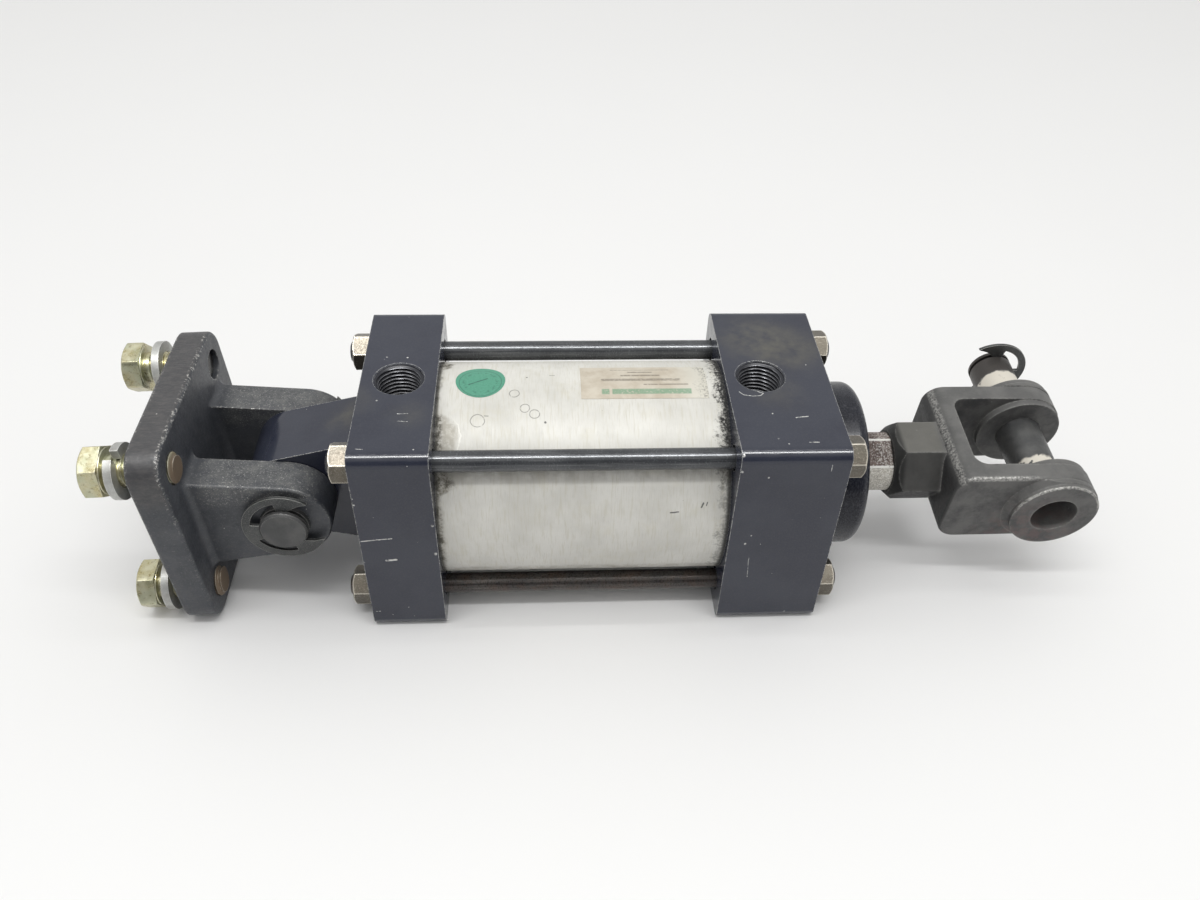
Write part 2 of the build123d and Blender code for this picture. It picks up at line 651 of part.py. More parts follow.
def clevis_boss(side):
    """The round boss through an arm, flared where it leaves the arm's outer face."""
    first, last = sorted((side * BOSS_INNER, side * BOSS_OUTER))
    boss = rod_y(first, last, BOSS_R, CLEVIS_REACH)
    flare_end = ARM_OUTER + BOSS_FLARE
    middle = side * (ARM_OUTER + flare_end) / 2
    turn = -90 if side > 0 else 90
    cone = Cone(BOSS_R + BOSS_FLARE, BOSS_R, BOSS_FLARE)
    flare = Pos(CLEVIS_REACH, middle, 0) * Rot(turn, 0, 0) * cone
    return boss + (flare & fork_profile(-BOSS_OUTER, BOSS_OUTER))


def rod_clevis():
    """The clevis about its own origin: its threaded end at x = 0, its pin along Y."""
    fork = fork_profile(-ARM_OUTER, ARM_OUTER)
    rims = [e for e in fork.edges() if abs(abs(e.center().Y) - ARM_OUTER) < 0.01]
    fork = fillet(rims, FORK_EDGE)
    slot = fillet(edges_along(block(FORK_FLOOR, CLEVIS_REACH + 3 * FORK_HALF, -ARM_INNER, ARM_INNER,
                                    -2 * FORK_HALF, 2 * FORK_HALF), Axis.Z), SLOT_CORNER)
    for side in (-1, 1):
        fork += clevis_boss(side)
    fork -= slot
    for side in (-1, 1):
        first, last = sorted((side * BOSS_INNER, side * (ARM_INNER + 1)))
        fork += rod_y(first, last, BOSS_R, CLEVIS_REACH)
    hexagon = hexagon_x(0, FORK_START + 1, HEX_AF, 0)
    corner = HEX_AF / sqrt(3)
    run = (corner - HEX_CHAMFER_R) / tan(radians(HEX_CHAMFER_ANGLE))
    outline = Polyline((0, 0), (0, HEX_CHAMFER_R), (run, corner), (FORK_START + 1, corner),
                       (FORK_START + 1, 0), close=True)
    body = fork + (hexagon & revolve(make_face(outline), Axis.X))
    body -= rod_x(-1, STUD_LENGTH + THREAD_RUN_OUT, STUD_R)
    for side in (-1, 1):
        first, last = sorted((side * (BOSS_INNER - 1), side * (BOSS_OUTER + 1)))
        body -= rod_y(first, last, PIN_R + FIT, CLEVIS_REACH)
    return body


# ---------------------------------------------------------------- assembly
def lifted(shape):
    return Pos(0, 0, AXIS_HEIGHT) * shape


def on_bracket(shape):
    """Places a shape made about the pivot pin, swung with the bracket."""
    return Pos(PIVOT_X, 0, AXIS_HEIGHT) * Rot(0, bracket_swing(), 0) * shape


def on_clevis(shape):
    """Places a shape made about the clevis's threaded end, turned with the rod."""
    return Pos(SHOULDER, 0, AXIS_HEIGHT) * Rot(CLEVIS_TURN, 0, 0) * shape


def clevis_pin_place(shape):
    return on_clevis(Pos(CLEVIS_REACH, CLEVIS_PIN_SHIFT, 0) * shape)


def all_nodes():
    nodes = {
        "rear_cap": lifted(rear_cap()),
        "front_head": lifted(front_head()),
        "barrel_tube": lifted(barrel_tube()),
        "rear_tube_seal": lifted(tube_seal(CAP_FACE - REGISTER - TUBE_SEAL)),
        "front_tube_seal": lifted(tube_seal(HEAD_FACE + REGISTER)),
        "rear_tie_rod_nuts": lifted(tie_rod_nuts(CAP_REAR - TIE_NUT, REAR_NUT_TURNS)),
        "front_tie_rod_nuts": lifted(tie_rod_nuts(HEAD_FRONT, FRONT_NUT_TURNS)),
        "gland_retainer": lifted(gland_retainer()),
        "retainer_screws": lifted(retainer_screws()),
        "rod_bushing": lifted(rod_bushing()),
        "gland_seal_ring": lifted(gland_seal_ring()),
        "rod_seal": lifted(rod_seal()),
        "rod_wiper": lifted(rod_wiper()),
        "data_label": lifted(data_label()),
        "inspection_sticker": lifted(inspection_sticker()),
        "piston_rod": lifted(piston_rod()),
        "piston": lifted(piston()),
        "piston_nut": lifted(piston_nut()),
        "piston_seals": lifted(piston_seals()),
        "piston_wear_band": lifted(piston_wear_band()),
        "clevis_bracket": on_bracket(clevis_bracket()),
        "mounting_bolts": on_bracket(mounting_bolts()),
        "lock_washers": on_bracket(lock_washers()),
        "pivot_pin": on_bracket(grooved_pin()),
        "pivot_pin_rings": on_bracket(pivot_pin_rings()),
        "rod_clevis": on_clevis(rod_clevis()),
        "clevis_pin": clevis_pin_place(grooved_pin()),
        "clevis_pin_ring": clevis_pin_place(ring_on_pin(1, CLEVIS_RING_MOUTH, broken=True)),
    }
    for name, y, z in corner_places(TIE_SPACING):
        nodes["tie_rod_" + name] = lifted(tie_rod(y, z))
    return nodes


os.makedirs("parts", exist_ok=True)
for node, shape in all_nodes().items():
    export_step(shape, f"parts/{node}.step")
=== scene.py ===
"""Looks of the pneumatic cylinder: threads, bolts, materials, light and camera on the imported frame.

The helpers below take millimetres in the row frame; meshes are stored in metres.
"""
import math

import bpy
from mathutils import Matrix, Vector

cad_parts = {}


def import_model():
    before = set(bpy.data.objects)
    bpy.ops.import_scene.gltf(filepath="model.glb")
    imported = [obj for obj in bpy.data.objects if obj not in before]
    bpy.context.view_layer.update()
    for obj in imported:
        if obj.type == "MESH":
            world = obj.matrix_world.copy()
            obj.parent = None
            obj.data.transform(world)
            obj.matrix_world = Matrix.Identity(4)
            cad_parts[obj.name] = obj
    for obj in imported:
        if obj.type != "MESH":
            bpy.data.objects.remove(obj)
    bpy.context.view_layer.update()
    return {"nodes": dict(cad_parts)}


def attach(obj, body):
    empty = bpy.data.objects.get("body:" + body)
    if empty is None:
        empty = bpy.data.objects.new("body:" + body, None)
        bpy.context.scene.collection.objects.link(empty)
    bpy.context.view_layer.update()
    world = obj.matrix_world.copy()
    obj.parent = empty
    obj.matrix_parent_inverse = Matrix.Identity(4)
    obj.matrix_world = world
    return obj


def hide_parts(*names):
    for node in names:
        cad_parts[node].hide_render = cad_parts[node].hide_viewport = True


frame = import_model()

MM = 0.001
AXIS = 47.625
HALF = 47.625
TOP = 95.25
SCENE = bpy.context.scene
BRACKET_SWING = -2.5515
PIVOT_X = -46.75
FLANGE_HALF = 45.5
FLANGE_CORNER = 11.0
FLANGE_FRONT = -34.925
FLANGE_BACK = -47.625
CLEVIS_TURN = 6.0
CLEVIS_PIN_X = 271.0
FORK_BACK = 226.1
FORK_HALF = 19.05
ARM_OUTER = 27.3
BOSS_R = 18.2
BOSS_OUTER = 31.75
TUBE_R = 44.45


# ------------------------------------------------------------------ node graphs
class Graph:
    """One material's node tree. Methods take numbers, tuples or sockets and return sockets."""

    def __init__(self, name, bevel=0.4):
        self.material = bpy.data.materials.new(name)
        self.material.use_nodes = True
        self.tree = self.material.node_tree
        self.tree.nodes.clear()
        output = self.add("ShaderNodeOutputMaterial")
        self.shader = self.add("ShaderNodeBsdfPrincipled")
        self.tree.links.new(self.shader.outputs[0], output.inputs[0])
        coordinates = self.add("ShaderNodeTexCoord").outputs["Object"]
        self.place = self.vector("MULTIPLY", coordinates, (1000.0, 1000.0, 1000.0))
        split = self.add("ShaderNodeSeparateXYZ")
        self.feed(split.inputs[0], self.place)
        self.x, self.y, self.z = split.outputs
        self.bevel = self.bevelled(bevel) if bevel else None

    def add(self, kind, **settings):
        node = self.tree.nodes.new(kind)
        for key, value in settings.items():
            setattr(node, key, value)
        return node

    def feed(self, socket, value):
        if isinstance(value, bpy.types.NodeSocket):
            self.tree.links.new(value, socket)
        elif socket.type == "RGBA":
            socket.default_value = (*value, 1.0)
        else:
            socket.default_value = value

    def math(self, operation, *values, clamp=False):
        node = self.add("ShaderNodeMath", operation=operation, use_clamp=clamp)
        for socket, value in zip(node.inputs, values):
            self.feed(socket, value)
        return node.outputs[0]

    def times(self, *values):
        result = values[0]
        for value in values[1:]:
            result = self.math("MULTIPLY", result, value)
        return result

    def plus(self, a, b):
        return self.math("ADD", a, b)

    def less(self, a, b):
        return self.math("SUBTRACT", a, b)

    def most(self, *values):
        result = values[0]
        for value in values[1:]:
            result = self.math("MAXIMUM", result, value)
        return result

    def vector(self, operation, *values):
        node = self.add("ShaderNodeVectorMath", operation=operation)
        sockets = node.inputs
        if operation == "SCALE":
            sockets = (node.inputs[0], node.inputs["Scale"])
        for socket, value in zip(sockets, values):
            self.feed(socket, value)
        scalar = operation in ("DOT_PRODUCT", "LENGTH", "DISTANCE")
        return node.outputs["Value" if scalar else "Vector"]

    def joined(self, x, y, z):
        node = self.add("ShaderNodeCombineXYZ")
        for socket, value in zip(node.inputs, (x, y, z)):
            self.feed(socket, value)
        return node.outputs[0]

    def fade(self, value, low, high):
        """0 at low, 1 at high, smooth between; low may be the larger number."""
        node = self.add("ShaderNodeMapRange", interpolation_type="SMOOTHSTEP")
        self.feed(node.inputs["Value"], value)
        self.feed(node.inputs["From Min"], low)
        self.feed(node.inputs["From Max"], high)
        return node.outputs["Result"]

    def mix(self, factor, a, b):
        node = self.add("ShaderNodeMix", data_type="RGBA")
        self.feed(node.inputs[0], factor)
        self.feed(node.inputs[6], a)
        self.feed(node.inputs[7], b)
        return node.outputs[2]

    def blend(self, factor, a, b):
        node = self.add("ShaderNodeMix", data_type="FLOAT")
        self.feed(node.inputs[0], factor)
        self.feed(node.inputs[2], a)
        self.feed(node.inputs[3], b)
        return node.outputs[0]

    def noise(self, scale, detail=3.0, roughness=0.55, place=None, stretch=None, distortion=0.0):
        place = place or self.place
        if stretch:
            place = self.vector("MULTIPLY", place, stretch)
        node = self.add("ShaderNodeTexNoise")
        self.feed(node.inputs["Vector"], place)
        self.feed(node.inputs["Scale"], scale)
        self.feed(node.inputs["Detail"], detail)
        self.feed(node.inputs["Roughness"], roughness)
        self.feed(node.inputs["Distortion"], distortion)
        return node.outputs[0]

    def specks(self, scale, share, size, place=None):
        """Small round specks: a share of the cells hold one, of the given size in cell widths."""
        node = self.add("ShaderNodeTexVoronoi")
        self.feed(node.inputs["Vector"], place or self.place)
        self.feed(node.inputs["Scale"], scale)
        split = self.add("ShaderNodeSeparateColor")
        self.feed(split.inputs[0], node.outputs["Color"])
        chosen = self.math("LESS_THAN", split.outputs[0], share)
        reach = self.times(split.outputs[1], size)
        return self.times(chosen, self.fade(node.outputs["Distance"], reach, self.times(reach, 0.6)))

    def wobbled(self, amount, scale):
        node = self.add("ShaderNodeTexNoise")
        self.feed(node.inputs["Vector"], self.place)
        self.feed(node.inputs["Scale"], scale)
        shift = self.vector("SUBTRACT", node.outputs["Color"], (0.5, 0.5, 0.5))
        return self.vector("ADD", self.place, self.vector("SCALE", shift, amount))

    def stroke(self, place, start, end, width):
        """A straight scratch between two points."""
        run = Vector(end) - Vector(start)
        offset = self.vector("SUBTRACT", place, tuple(start))
        along = self.vector("DOT_PRODUCT", offset, tuple(run / run.length_squared))
        nearest = self.vector("SCALE", tuple(run), self.math("ADD", along, 0.0, clamp=True))
        distance = self.vector("DISTANCE", offset, nearest)
        return self.fade(distance, width / 2, width / 5)

    def strokes(self, place, points, width):
        pairs = zip(points[:-1], points[1:])
        return self.most(*[self.stroke(place, a, b, width) for a, b in pairs])

    def spot(self, place, centre, radius, soft=0.5):
        distance = self.vector("DISTANCE", place, tuple(centre))
        return self.fade(distance, radius, radius * soft)

    def loop(self, place, centre, radius, width):
        distance = self.vector("DISTANCE", place, tuple(centre))
        off = self.math("ABSOLUTE", self.less(distance, radius))
        return self.fade(off, width / 2, width / 6)

    def bevelled(self, radius):
        node = self.add("ShaderNodeBevel", samples=6)
        node.inputs["Radius"].default_value = radius * MM
        return node.outputs[0]

    def edge(self, radius, low=0.02, high=0.14):
        """A mask of the edges, as wide as radius on each side."""
        normal = self.add("ShaderNodeNewGeometry").outputs["Normal"]
        same = self.vector("DOT_PRODUCT", self.bevelled(radius), normal)
        return self.fade(self.less(1.0, same), low, high)

    def bump(self, height, distance, strength=1.0):
        """Adds a layer of relief, its distance in millimetres."""
        node = self.add("ShaderNodeBump")
        node.inputs["Strength"].default_value = strength
        node.inputs["Distance"].default_value = distance * MM
        self.feed(node.inputs["Height"], height)
        if self.bevel is not None:
            self.feed(node.inputs["Normal"], self.bevel)
        self.bevel = node.outputs[0]

    def finish(self, colour, roughness, metallic=0.0, **fixed):
        self.feed(self.shader.inputs["Base Color"], colour)
        self.feed(self.shader.inputs["Roughness"], roughness)
        self.feed(self.shader.inputs["Metallic"], metallic)
        if self.bevel is not None:
            self.feed(self.shader.inputs["Normal"], self.bevel)
        for name, value in fixed.items():
            self.shader.inputs[name.replace("_", " ")].default_value = value
        return self.material

    def turned(self, y, z, degrees):
        """y and z about the cylinder's axis, in a frame turned about +X."""
        c, s = math.cos(math.radians(degrees)), math.sin(math.radians(degrees))
        up = self.less(z, AXIS)
        return (self.plus(self.times(y, c), self.times(up, s)),
                self.less(self.times(up, c), self.times(y, s)))

    def length(self, a, b):
        return self.vector("LENGTH", self.joined(a, b, 0.0))

    def tube_place(self):
        """Place on the tube: degrees from the front over the top, and mm round the tube."""
        turn = self.math("ARCTAN2", self.less(self.z, AXIS), self.times(self.y, -1.0))
        return self.times(turn, 180.0 / math.pi), self.times(turn, TUBE_R)


def dress(material, *names):
    """Gives CAD nodes a material."""
    for name in names:
        data = frame["nodes"][name].data
        data.materials.clear()
        data.materials.append(material)


# ------------------------------------------------------------------ materials
def anodised(name, marks=(), chips=(), brown=()):
    """Blue-black anodised heads with worn edges, chips, scratches and brown stains."""
    g = Graph(name, bevel=0.35)
    broad = g.noise(0.035, 4.0, 0.6)
    fine = g.noise(1.6, 4.0, 0.7)
    milled = g.noise(1.0, 2.0, 0.5, stretch=(0.06, 0.9, 0.9))
    colour = g.mix(g.fade(broad, 0.35, 0.65), (0.021, 0.024, 0.040), (0.029, 0.033, 0.050))
    colour = g.mix(g.times(g.fade(fine, 0.45, 0.75), 0.35), colour, (0.060, 0.062, 0.075))
    roughness = g.plus(0.13, g.times(g.fade(g.noise(0.2, 5.0, 0.6), 0.35, 0.7), 0.12))
    for centre, radius, share in brown:
        patch = g.times(g.spot(g.wobbled(9.0, 0.06), centre, radius, 0.05), share)
        patch = g.times(patch, g.fade(g.noise(0.12, 4.0, 0.6), 0.15, 0.85))
        colour = g.mix(patch, colour, (0.125, 0.118, 0.090))
    rubbed = g.times(g.edge(1.6, 0.01, 0.2), g.fade(g.noise(0.25, 4.0, 0.6), 0.4, 0.8))
    colour = g.mix(g.times(rubbed, 0.5), colour, (0.11, 0.11, 0.12))
    worn = g.times(g.edge(0.5, 0.02, 0.09), g.fade(g.noise(0.5, 5.0, 0.7), 0.40, 0.52))
    thin = g.times(g.edge(0.3, 0.02, 0.10), g.fade(g.noise(0.12, 3.0, 0.6), 0.25, 0.42))
    place = g.wobbled(0.35, 0.9)
    bare = g.most(worn, thin, g.specks(0.28, 0.10, 0.09), g.specks(0.11, 0.25, 0.04))
    for points, width in marks:
        bare = g.most(bare, g.strokes(place, points, width))
    for centre, radius in chips:
        bare = g.most(bare, g.spot(place, centre, radius))
    bare = g.times(bare, g.fade(g.noise(1.1, 3.0, 0.6), 0.30, 0.58))
    colour = g.mix(bare, colour, (0.60, 0.60, 0.58))
    roughness = g.blend(bare, roughness, 0.42)
    g.bump(fine, 0.004)
    g.bump(milled, 0.005)
    g.bump(g.less(1.0, bare), 0.05)
    return g.finish(colour, roughness, g.times(bare, 0.7))


def brushed_tube():
    """Dull turned aluminium, stained beside the cap and grimy beside the head."""
    g = Graph("tube_aluminium", bevel=0.3)
    degrees, arc = g.tube_place()

    def near(angle, width):
        off = g.math("ABSOLUTE", g.less(degrees, angle))
        return g.fade(off, width, width * 0.3)

    lay = g.joined(g.times(g.x, 3.2), g.times(arc, 0.16), 0.0)
    brushing = g.noise(1.0, 3.0, 0.65, place=lay)
    streaks = g.noise(1.0, 2.0, 0.6, place=g.joined(g.times(g.x, 1.1), g.times(arc, 0.10), 3.0))
    cloud = g.noise(0.06, 4.0, 0.6)
    colour = g.mix(g.fade(cloud, 0.3, 0.7), (0.61, 0.60, 0.555), (0.70, 0.69, 0.645))
    colour = g.mix(g.times(g.fade(brushing, 0.52, 0.74), 0.40), colour, (0.45, 0.44, 0.40))
    colour = g.mix(g.times(g.fade(streaks, 0.50, 0.68), 0.40), colour, (0.54, 0.515, 0.42))
    stain = g.times(g.fade(g.noise(0.09, 5.0, 0.65, distortion=0.4), 0.52, 0.72), 0.25)
    colour = g.mix(stain, colour, (0.58, 0.55, 0.43))
    # stains that run out from the rear cap, each at its own angle
    blotch = g.noise(0.35, 6.0, 0.75)
    ragged = g.plus(g.x, g.times(g.less(g.noise(0.16, 4.0, 0.6), 0.5), 5.0))
    reach = 16.8
    for angle, width, extra in REAR_STAINS:
        reach = g.plus(g.times(near(angle, width), extra), reach)
    rear = g.fade(ragged, g.plus(reach, 0.6), g.less(reach, 2.6))
    colour = g.mix(g.times(rear, g.fade(blotch, 0.2, 0.6), 0.8), colour, (0.33, 0.305, 0.25))
    foul = g.most(near(35.0, 9.0), near(111.0, 8.0), g.fade(g.x, 18.5, 16.5))
    dirty = g.times(rear, foul, g.fade(blotch, 0.42, 0.60))
    colour = g.mix(g.times(dirty, 0.85), colour, (0.07, 0.065, 0.05))
    tide = g.fade(g.math("ABSOLUTE", g.less(ragged, g.plus(reach, 0.6))), 0.45, 0.1)
    colour = g.mix(g.times(tide, near(57.0, 13.0), 0.6), colour, (0.86, 0.85, 0.79))
    # black grime beside the front head
    smear = g.times(g.less(g.noise(0.22, 6.0, 0.8), 0.5), 22.0)
    front = g.fade(g.plus(g.x, smear), 124.5, 128.5)
    speckle = g.fade(g.noise(0.9, 4.0, 0.7), 0.36, 0.52)
    upper = g.plus(0.45, g.times(g.fade(degrees, 25.0, 50.0), 0.55))
    colour = g.mix(g.times(front, speckle, upper), colour, (0.035, 0.034, 0.032))
    colour = g.mix(g.times(g.fade(g.x, 127.6, 129.4), 0.88), colour, (0.03, 0.03, 0.03))
    colour = g.mix(g.times(g.fade(g.x, 16.4, 15.4), 0.8), colour, (0.06, 0.058, 0.05))
    # darker bands along the tie rods: painted shade of the rods, with some dust
    for angle, width in ((42.0, 10.0), (-33.0, 9.0), (138.0, 9.0), (-147.0, 9.0)):
        # painted shade of the tie rod, broken up by noise
        band = g.times(near(angle, width), g.fade(g.noise(0.16, 4.0, 0.6), 0.36, 0.66))
        colour = g.mix(g.times(band, 0.42), colour, (0.27, 0.25, 0.21))
    # pen rings and small dark marks
    place = g.wobbled(0.55, 0.35)
    rings = [g.loop(place, on_tube(x, angle), radius, 0.55) for x, angle, radius in PEN_RINGS]
    pen = g.times(g.most(*rings), g.fade(g.noise(0.5, 2.0, 0.5), 0.30, 0.44))
    dots = [g.spot(place, on_tube(57.7, 64.8), 0.65), g.spot(place, on_tube(50.4, 95.6), 0.45)]
    for start, end, width in TUBE_NICKS:
        dots.append(g.stroke(place, on_tube(*start), on_tube(*end), width))
    colour = g.mix(g.times(pen, 0.62), colour, (0.12, 0.115, 0.10))
    colour = g.mix(g.times(g.most(*dots), 0.85), colour, (0.05, 0.05, 0.05))
    colour = g.mix(g.times(g.specks(0.45, 0.08, 0.13), 0.5), colour, (0.2, 0.19, 0.16))
    rough = g.plus(0.40, g.times(g.fade(brushing, 0.3, 0.75), 0.14))
    rough = g.blend(g.most(front, dirty), rough, 0.75)
    g.bump(brushing, 0.012)
    g.bump(streaks, 0.006)
    return g.finish(colour, rough, 0.05, Specular_IOR_Level=0.22)


def on_tube(x, degrees):
    """A point on the tube: x and degrees from the front over the top."""
    turn = math.radians(degrees)
    return (x, -TUBE_R * math.cos(turn), AXIS + TUBE_R * math.sin(turn))


def dark_steel(name, dark, light, edge_colour, rust=0.0, roughness=0.38, metallic=0.55,
               drawn=(0.05, 1.0, 1.0), edge=0.5, edge_share=0.9, bevel=0.3, grain=0.010, specks=0.5,
               specular=0.5):
    """Plated or blackened steel with drawn lines, rubbed edges and a little rust."""
    g = Graph(name, bevel=bevel)
    broad = g.noise(0.07, 4.0, 0.6)
    fine = g.noise(1.3, 5.0, 0.7)
    lines = g.noise(2.2, 2.0, 0.6, stretch=drawn)
    colour = g.mix(g.fade(broad, 0.3, 0.7), dark, light)
    colour = g.mix(g.times(g.fade(lines, 0.5, 0.75), 0.3), colour, edge_colour)
    if rust:
        patch = g.times(g.fade(g.noise(0.13, 6.0, 0.75), 0.42, 0.7), rust)
        colour = g.mix(patch, colour, (0.105, 0.055, 0.032))
    worn = g.times(g.edge(edge, 0.004, 0.03), g.fade(g.noise(0.6, 4.0, 0.7), 0.22, 0.38))
    worn = g.most(g.times(worn, edge_share), g.times(g.specks(0.5, 0.10, 0.12), specks))
    colour = g.mix(worn, colour, edge_colour)
    rough = g.plus(roughness, g.times(g.fade(fine, 0.35, 0.7), 0.18))
    g.bump(fine, grain)
    g.bump(lines, 0.8 * grain)
    return g.finish(colour, rough, metallic, Specular_IOR_Level=specular)


def casting():
    """The bracket: black paint on a casting, rubbed grey on the ears' tops and chipped rims."""
    g = Graph("black_casting", bevel=0.9)
    broad = g.noise(0.07, 5.0, 0.65)
    grain = g.noise(0.9, 5.0, 0.7)
    colour = g.mix(g.fade(broad, 0.38, 0.62), (0.030, 0.034, 0.043), (0.050, 0.054, 0.064))
    # place in the bracket's own frame, with the pivot as origin
    swing = math.radians(BRACKET_SWING)
    ahead, up = g.less(g.x, PIVOT_X), g.less(g.z, AXIS)
    x = g.less(g.times(ahead, math.cos(swing)), g.times(up, math.sin(swing)))
    z = g.plus(g.times(ahead, math.sin(swing)), g.times(up, math.cos(swing)))
    across = [g.most(g.less(g.math("ABSOLUTE", v), FLANGE_HALF - FLANGE_CORNER), 0.0) for v in (g.y, z)]
    outside = g.less(g.length(*across), FLANGE_CORNER)
    # grey dust rubbed on the ears and the flange's upward faces
    ears = g.times(g.fade(x, -35.0, -25.0), g.fade(z, 8.0, 15.0))
    dust = g.times(g.most(ears, 0.2), g.fade(g.noise(0.22, 6.0, 0.7), 0.22, 0.80))
    colour = g.mix(g.times(dust, 0.8), colour, (0.150, 0.151, 0.145))
    grit = g.times(g.fade(g.noise(1.5, 4.0, 0.75), 0.55, 0.65), g.plus(0.12, g.times(ears, 0.6)))
    colour = g.mix(grit, colour, (0.36, 0.355, 0.34))
    # ground side faces of the flange, with marks across their width
    ground = g.times(g.fade(outside, -0.6, -0.2), g.fade(z, 20.0, 30.0), g.fade(x, -34.0, -35.5))
    lines = g.noise(1.0, 4.0, 0.7, stretch=(0.25, 1.1, 0.6))
    brown = g.mix(g.fade(lines, 0.40, 0.70), (0.048, 0.046, 0.047), (0.092, 0.084, 0.080))
    colour = g.mix(g.times(ground, 0.7), colour, brown)
    rubbed = g.times(g.edge(2.2, 0.01, 0.2), g.fade(g.noise(0.2, 5.0, 0.65), 0.38, 0.7))
    colour = g.mix(g.times(rubbed, 0.55), colour, (0.16, 0.16, 0.155))
    rims = [g.fade(g.length(g.plus(outside, 0.6), g.less(x, face)), 1.5, 0.5)
            for face in (FLANGE_FRONT - 0.6, FLANGE_BACK + 0.4)]
    rim = g.times(g.most(*rims), g.plus(0.14, g.times(g.fade(z, 6.0, 26.0), 0.70)))
    chipped = g.times(g.most(rim, g.edge(1.1, 0.03, 0.12)), g.fade(g.noise(0.8, 5.0, 0.75), 0.53, 0.62))
    place = g.wobbled(1.2, 0.4)
    scratches = [g.strokes(place, points, width) for points, width in BRACKET_SCRATCHES]
    bare = g.most(chipped, g.specks(0.32, 0.14, 0.10), *scratches)
    bare = g.times(bare, g.fade(g.noise(1.4, 3.0, 0.6), 0.32, 0.48))
    colour = g.mix(bare, colour, (0.55, 0.54, 0.51))
    rough = g.plus(0.36, g.times(g.fade(grain, 0.3, 0.7), 0.2))
    g.bump(grain, 0.06)
    g.bump(g.noise(0.18, 3.0, 0.5), 0.25)
    return g.finish(colour, rough, g.times(bare, 0.6))


def forging():
    """The rod clevis: black oxide with a grainy skin and rubbed, brighter edges; painted light on faces
    turned up, painted shade on the hexagon's lower facets and in hollows, and painted highlights along some
    top edges.
    """
    g = Graph("black_forging", bevel=0.8)
    broad = g.noise(0.075, 5.0, 0.65)
    grain = g.noise(0.75, 6.0, 0.72)
    y, z = g.turned(g.y, g.z, CLEVIS_TURN)
    facing = g.add("ShaderNodeSeparateXYZ")
    g.feed(facing.inputs[0], g.add("ShaderNodeNewGeometry").outputs["Normal"])
    upward = g.fade(facing.outputs[2], 0.25, 0.75)
    colour = g.mix(g.fade(broad, 0.36, 0.64), (0.064, 0.064, 0.064), (0.128, 0.126, 0.122))
    # painted light: faces turned up are mixed lighter
    colour = g.mix(g.times(upward, 0.40), colour, (0.165, 0.164, 0.158))
    colour = g.mix(g.times(g.fade(grain, 0.5, 0.75), 0.45), colour, (0.165, 0.162, 0.155))
    # the hexagon: painted light on its upper facets, painted shade near black on its other facets and on
    # faces turned back towards the barrel by the fork; the hollow behind the fork gets painted shade too
    hexagon = g.fade(g.x, 227.5, 224.5)
    colour = g.mix(g.times(hexagon, g.less(1.0, upward), 0.88), colour, (0.026, 0.026, 0.027))
    colour = g.mix(g.times(hexagon, upward, 0.6), colour, (0.128, 0.124, 0.108))
    # painted shade on the faces turned back towards the barrel, by the fork
    painted_back_shade = g.times(g.fade(g.x, 234.0, 226.0), g.fade(facing.outputs[0], -0.2, -0.6))
    colour = g.mix(g.times(painted_back_shade, 0.7), colour, (0.030, 0.030, 0.031))
    colour = g.mix(g.times(g.fade(g.x, 211.0, 208.5), 0.8), colour, (0.010, 0.010, 0.010))
    red = g.times(g.spot(g.wobbled(8.0, 0.08), (264.0, -30.0, 30.0), 30.0, 0.2),
                  g.fade(g.noise(0.2, 4.0, 0.6), 0.42, 0.62))
    colour = g.mix(g.times(red, 0.55), colour, (0.150, 0.100, 0.094))
    rubbed = g.times(g.edge(2.4, 0.01, 0.2), g.fade(g.noise(0.25, 4.0, 0.6), 0.3, 0.65))
    colour = g.mix(g.times(rubbed, 0.6), colour, (0.22, 0.217, 0.205))
    # bright lines, partly worn bare metal and partly painted highlight: the front arm's outer top edge, the
    # fork's back edges and the boss's upper rim
    gone = g.fade(g.noise(1.0, 5.0, 0.8), 0.42, 0.58)
    arm = g.fade(g.length(g.plus(y, ARM_OUTER - 0.4), g.less(z, FORK_HALF - 0.4)), 1.7, 0.4)
    arm = g.times(arm, g.fade(g.x, 226.5, 229.0), g.fade(g.x, 264.0, 252.0), 0.7)
    back = g.fade(g.length(g.less(g.x, FORK_BACK + 2.5), g.less(z, FORK_HALF - 2.5)), 2.4, 0.6)
    pin = g.length(g.less(g.x, CLEVIS_PIN_X), z)
    rim = g.fade(g.length(g.less(pin, BOSS_R - 0.3), g.plus(y, BOSS_OUTER - 0.3)), 0.9, 0.3)
    bright = g.most(arm, g.times(back, 0.45), g.times(rim, g.fade(z, 0.0, 8.0), 0.9))
    bright = g.most(g.times(bright, gone), g.times(g.edge(1.0, 0.04, 0.15), gone, 0.3))
    bright = g.most(bright, g.times(g.specks(0.35, 0.10, 0.10), 0.5))
    colour = g.mix(bright, colour, (0.58, 0.57, 0.54))
    rough = g.plus(0.40, g.times(g.fade(grain, 0.3, 0.7), 0.2))
    g.bump(grain, 0.09)
    g.bump(g.noise(0.2, 3.0, 0.5), 0.3)
    return g.finish(colour, rough, g.times(bright, 0.5), Specular_IOR_Level=0.25)


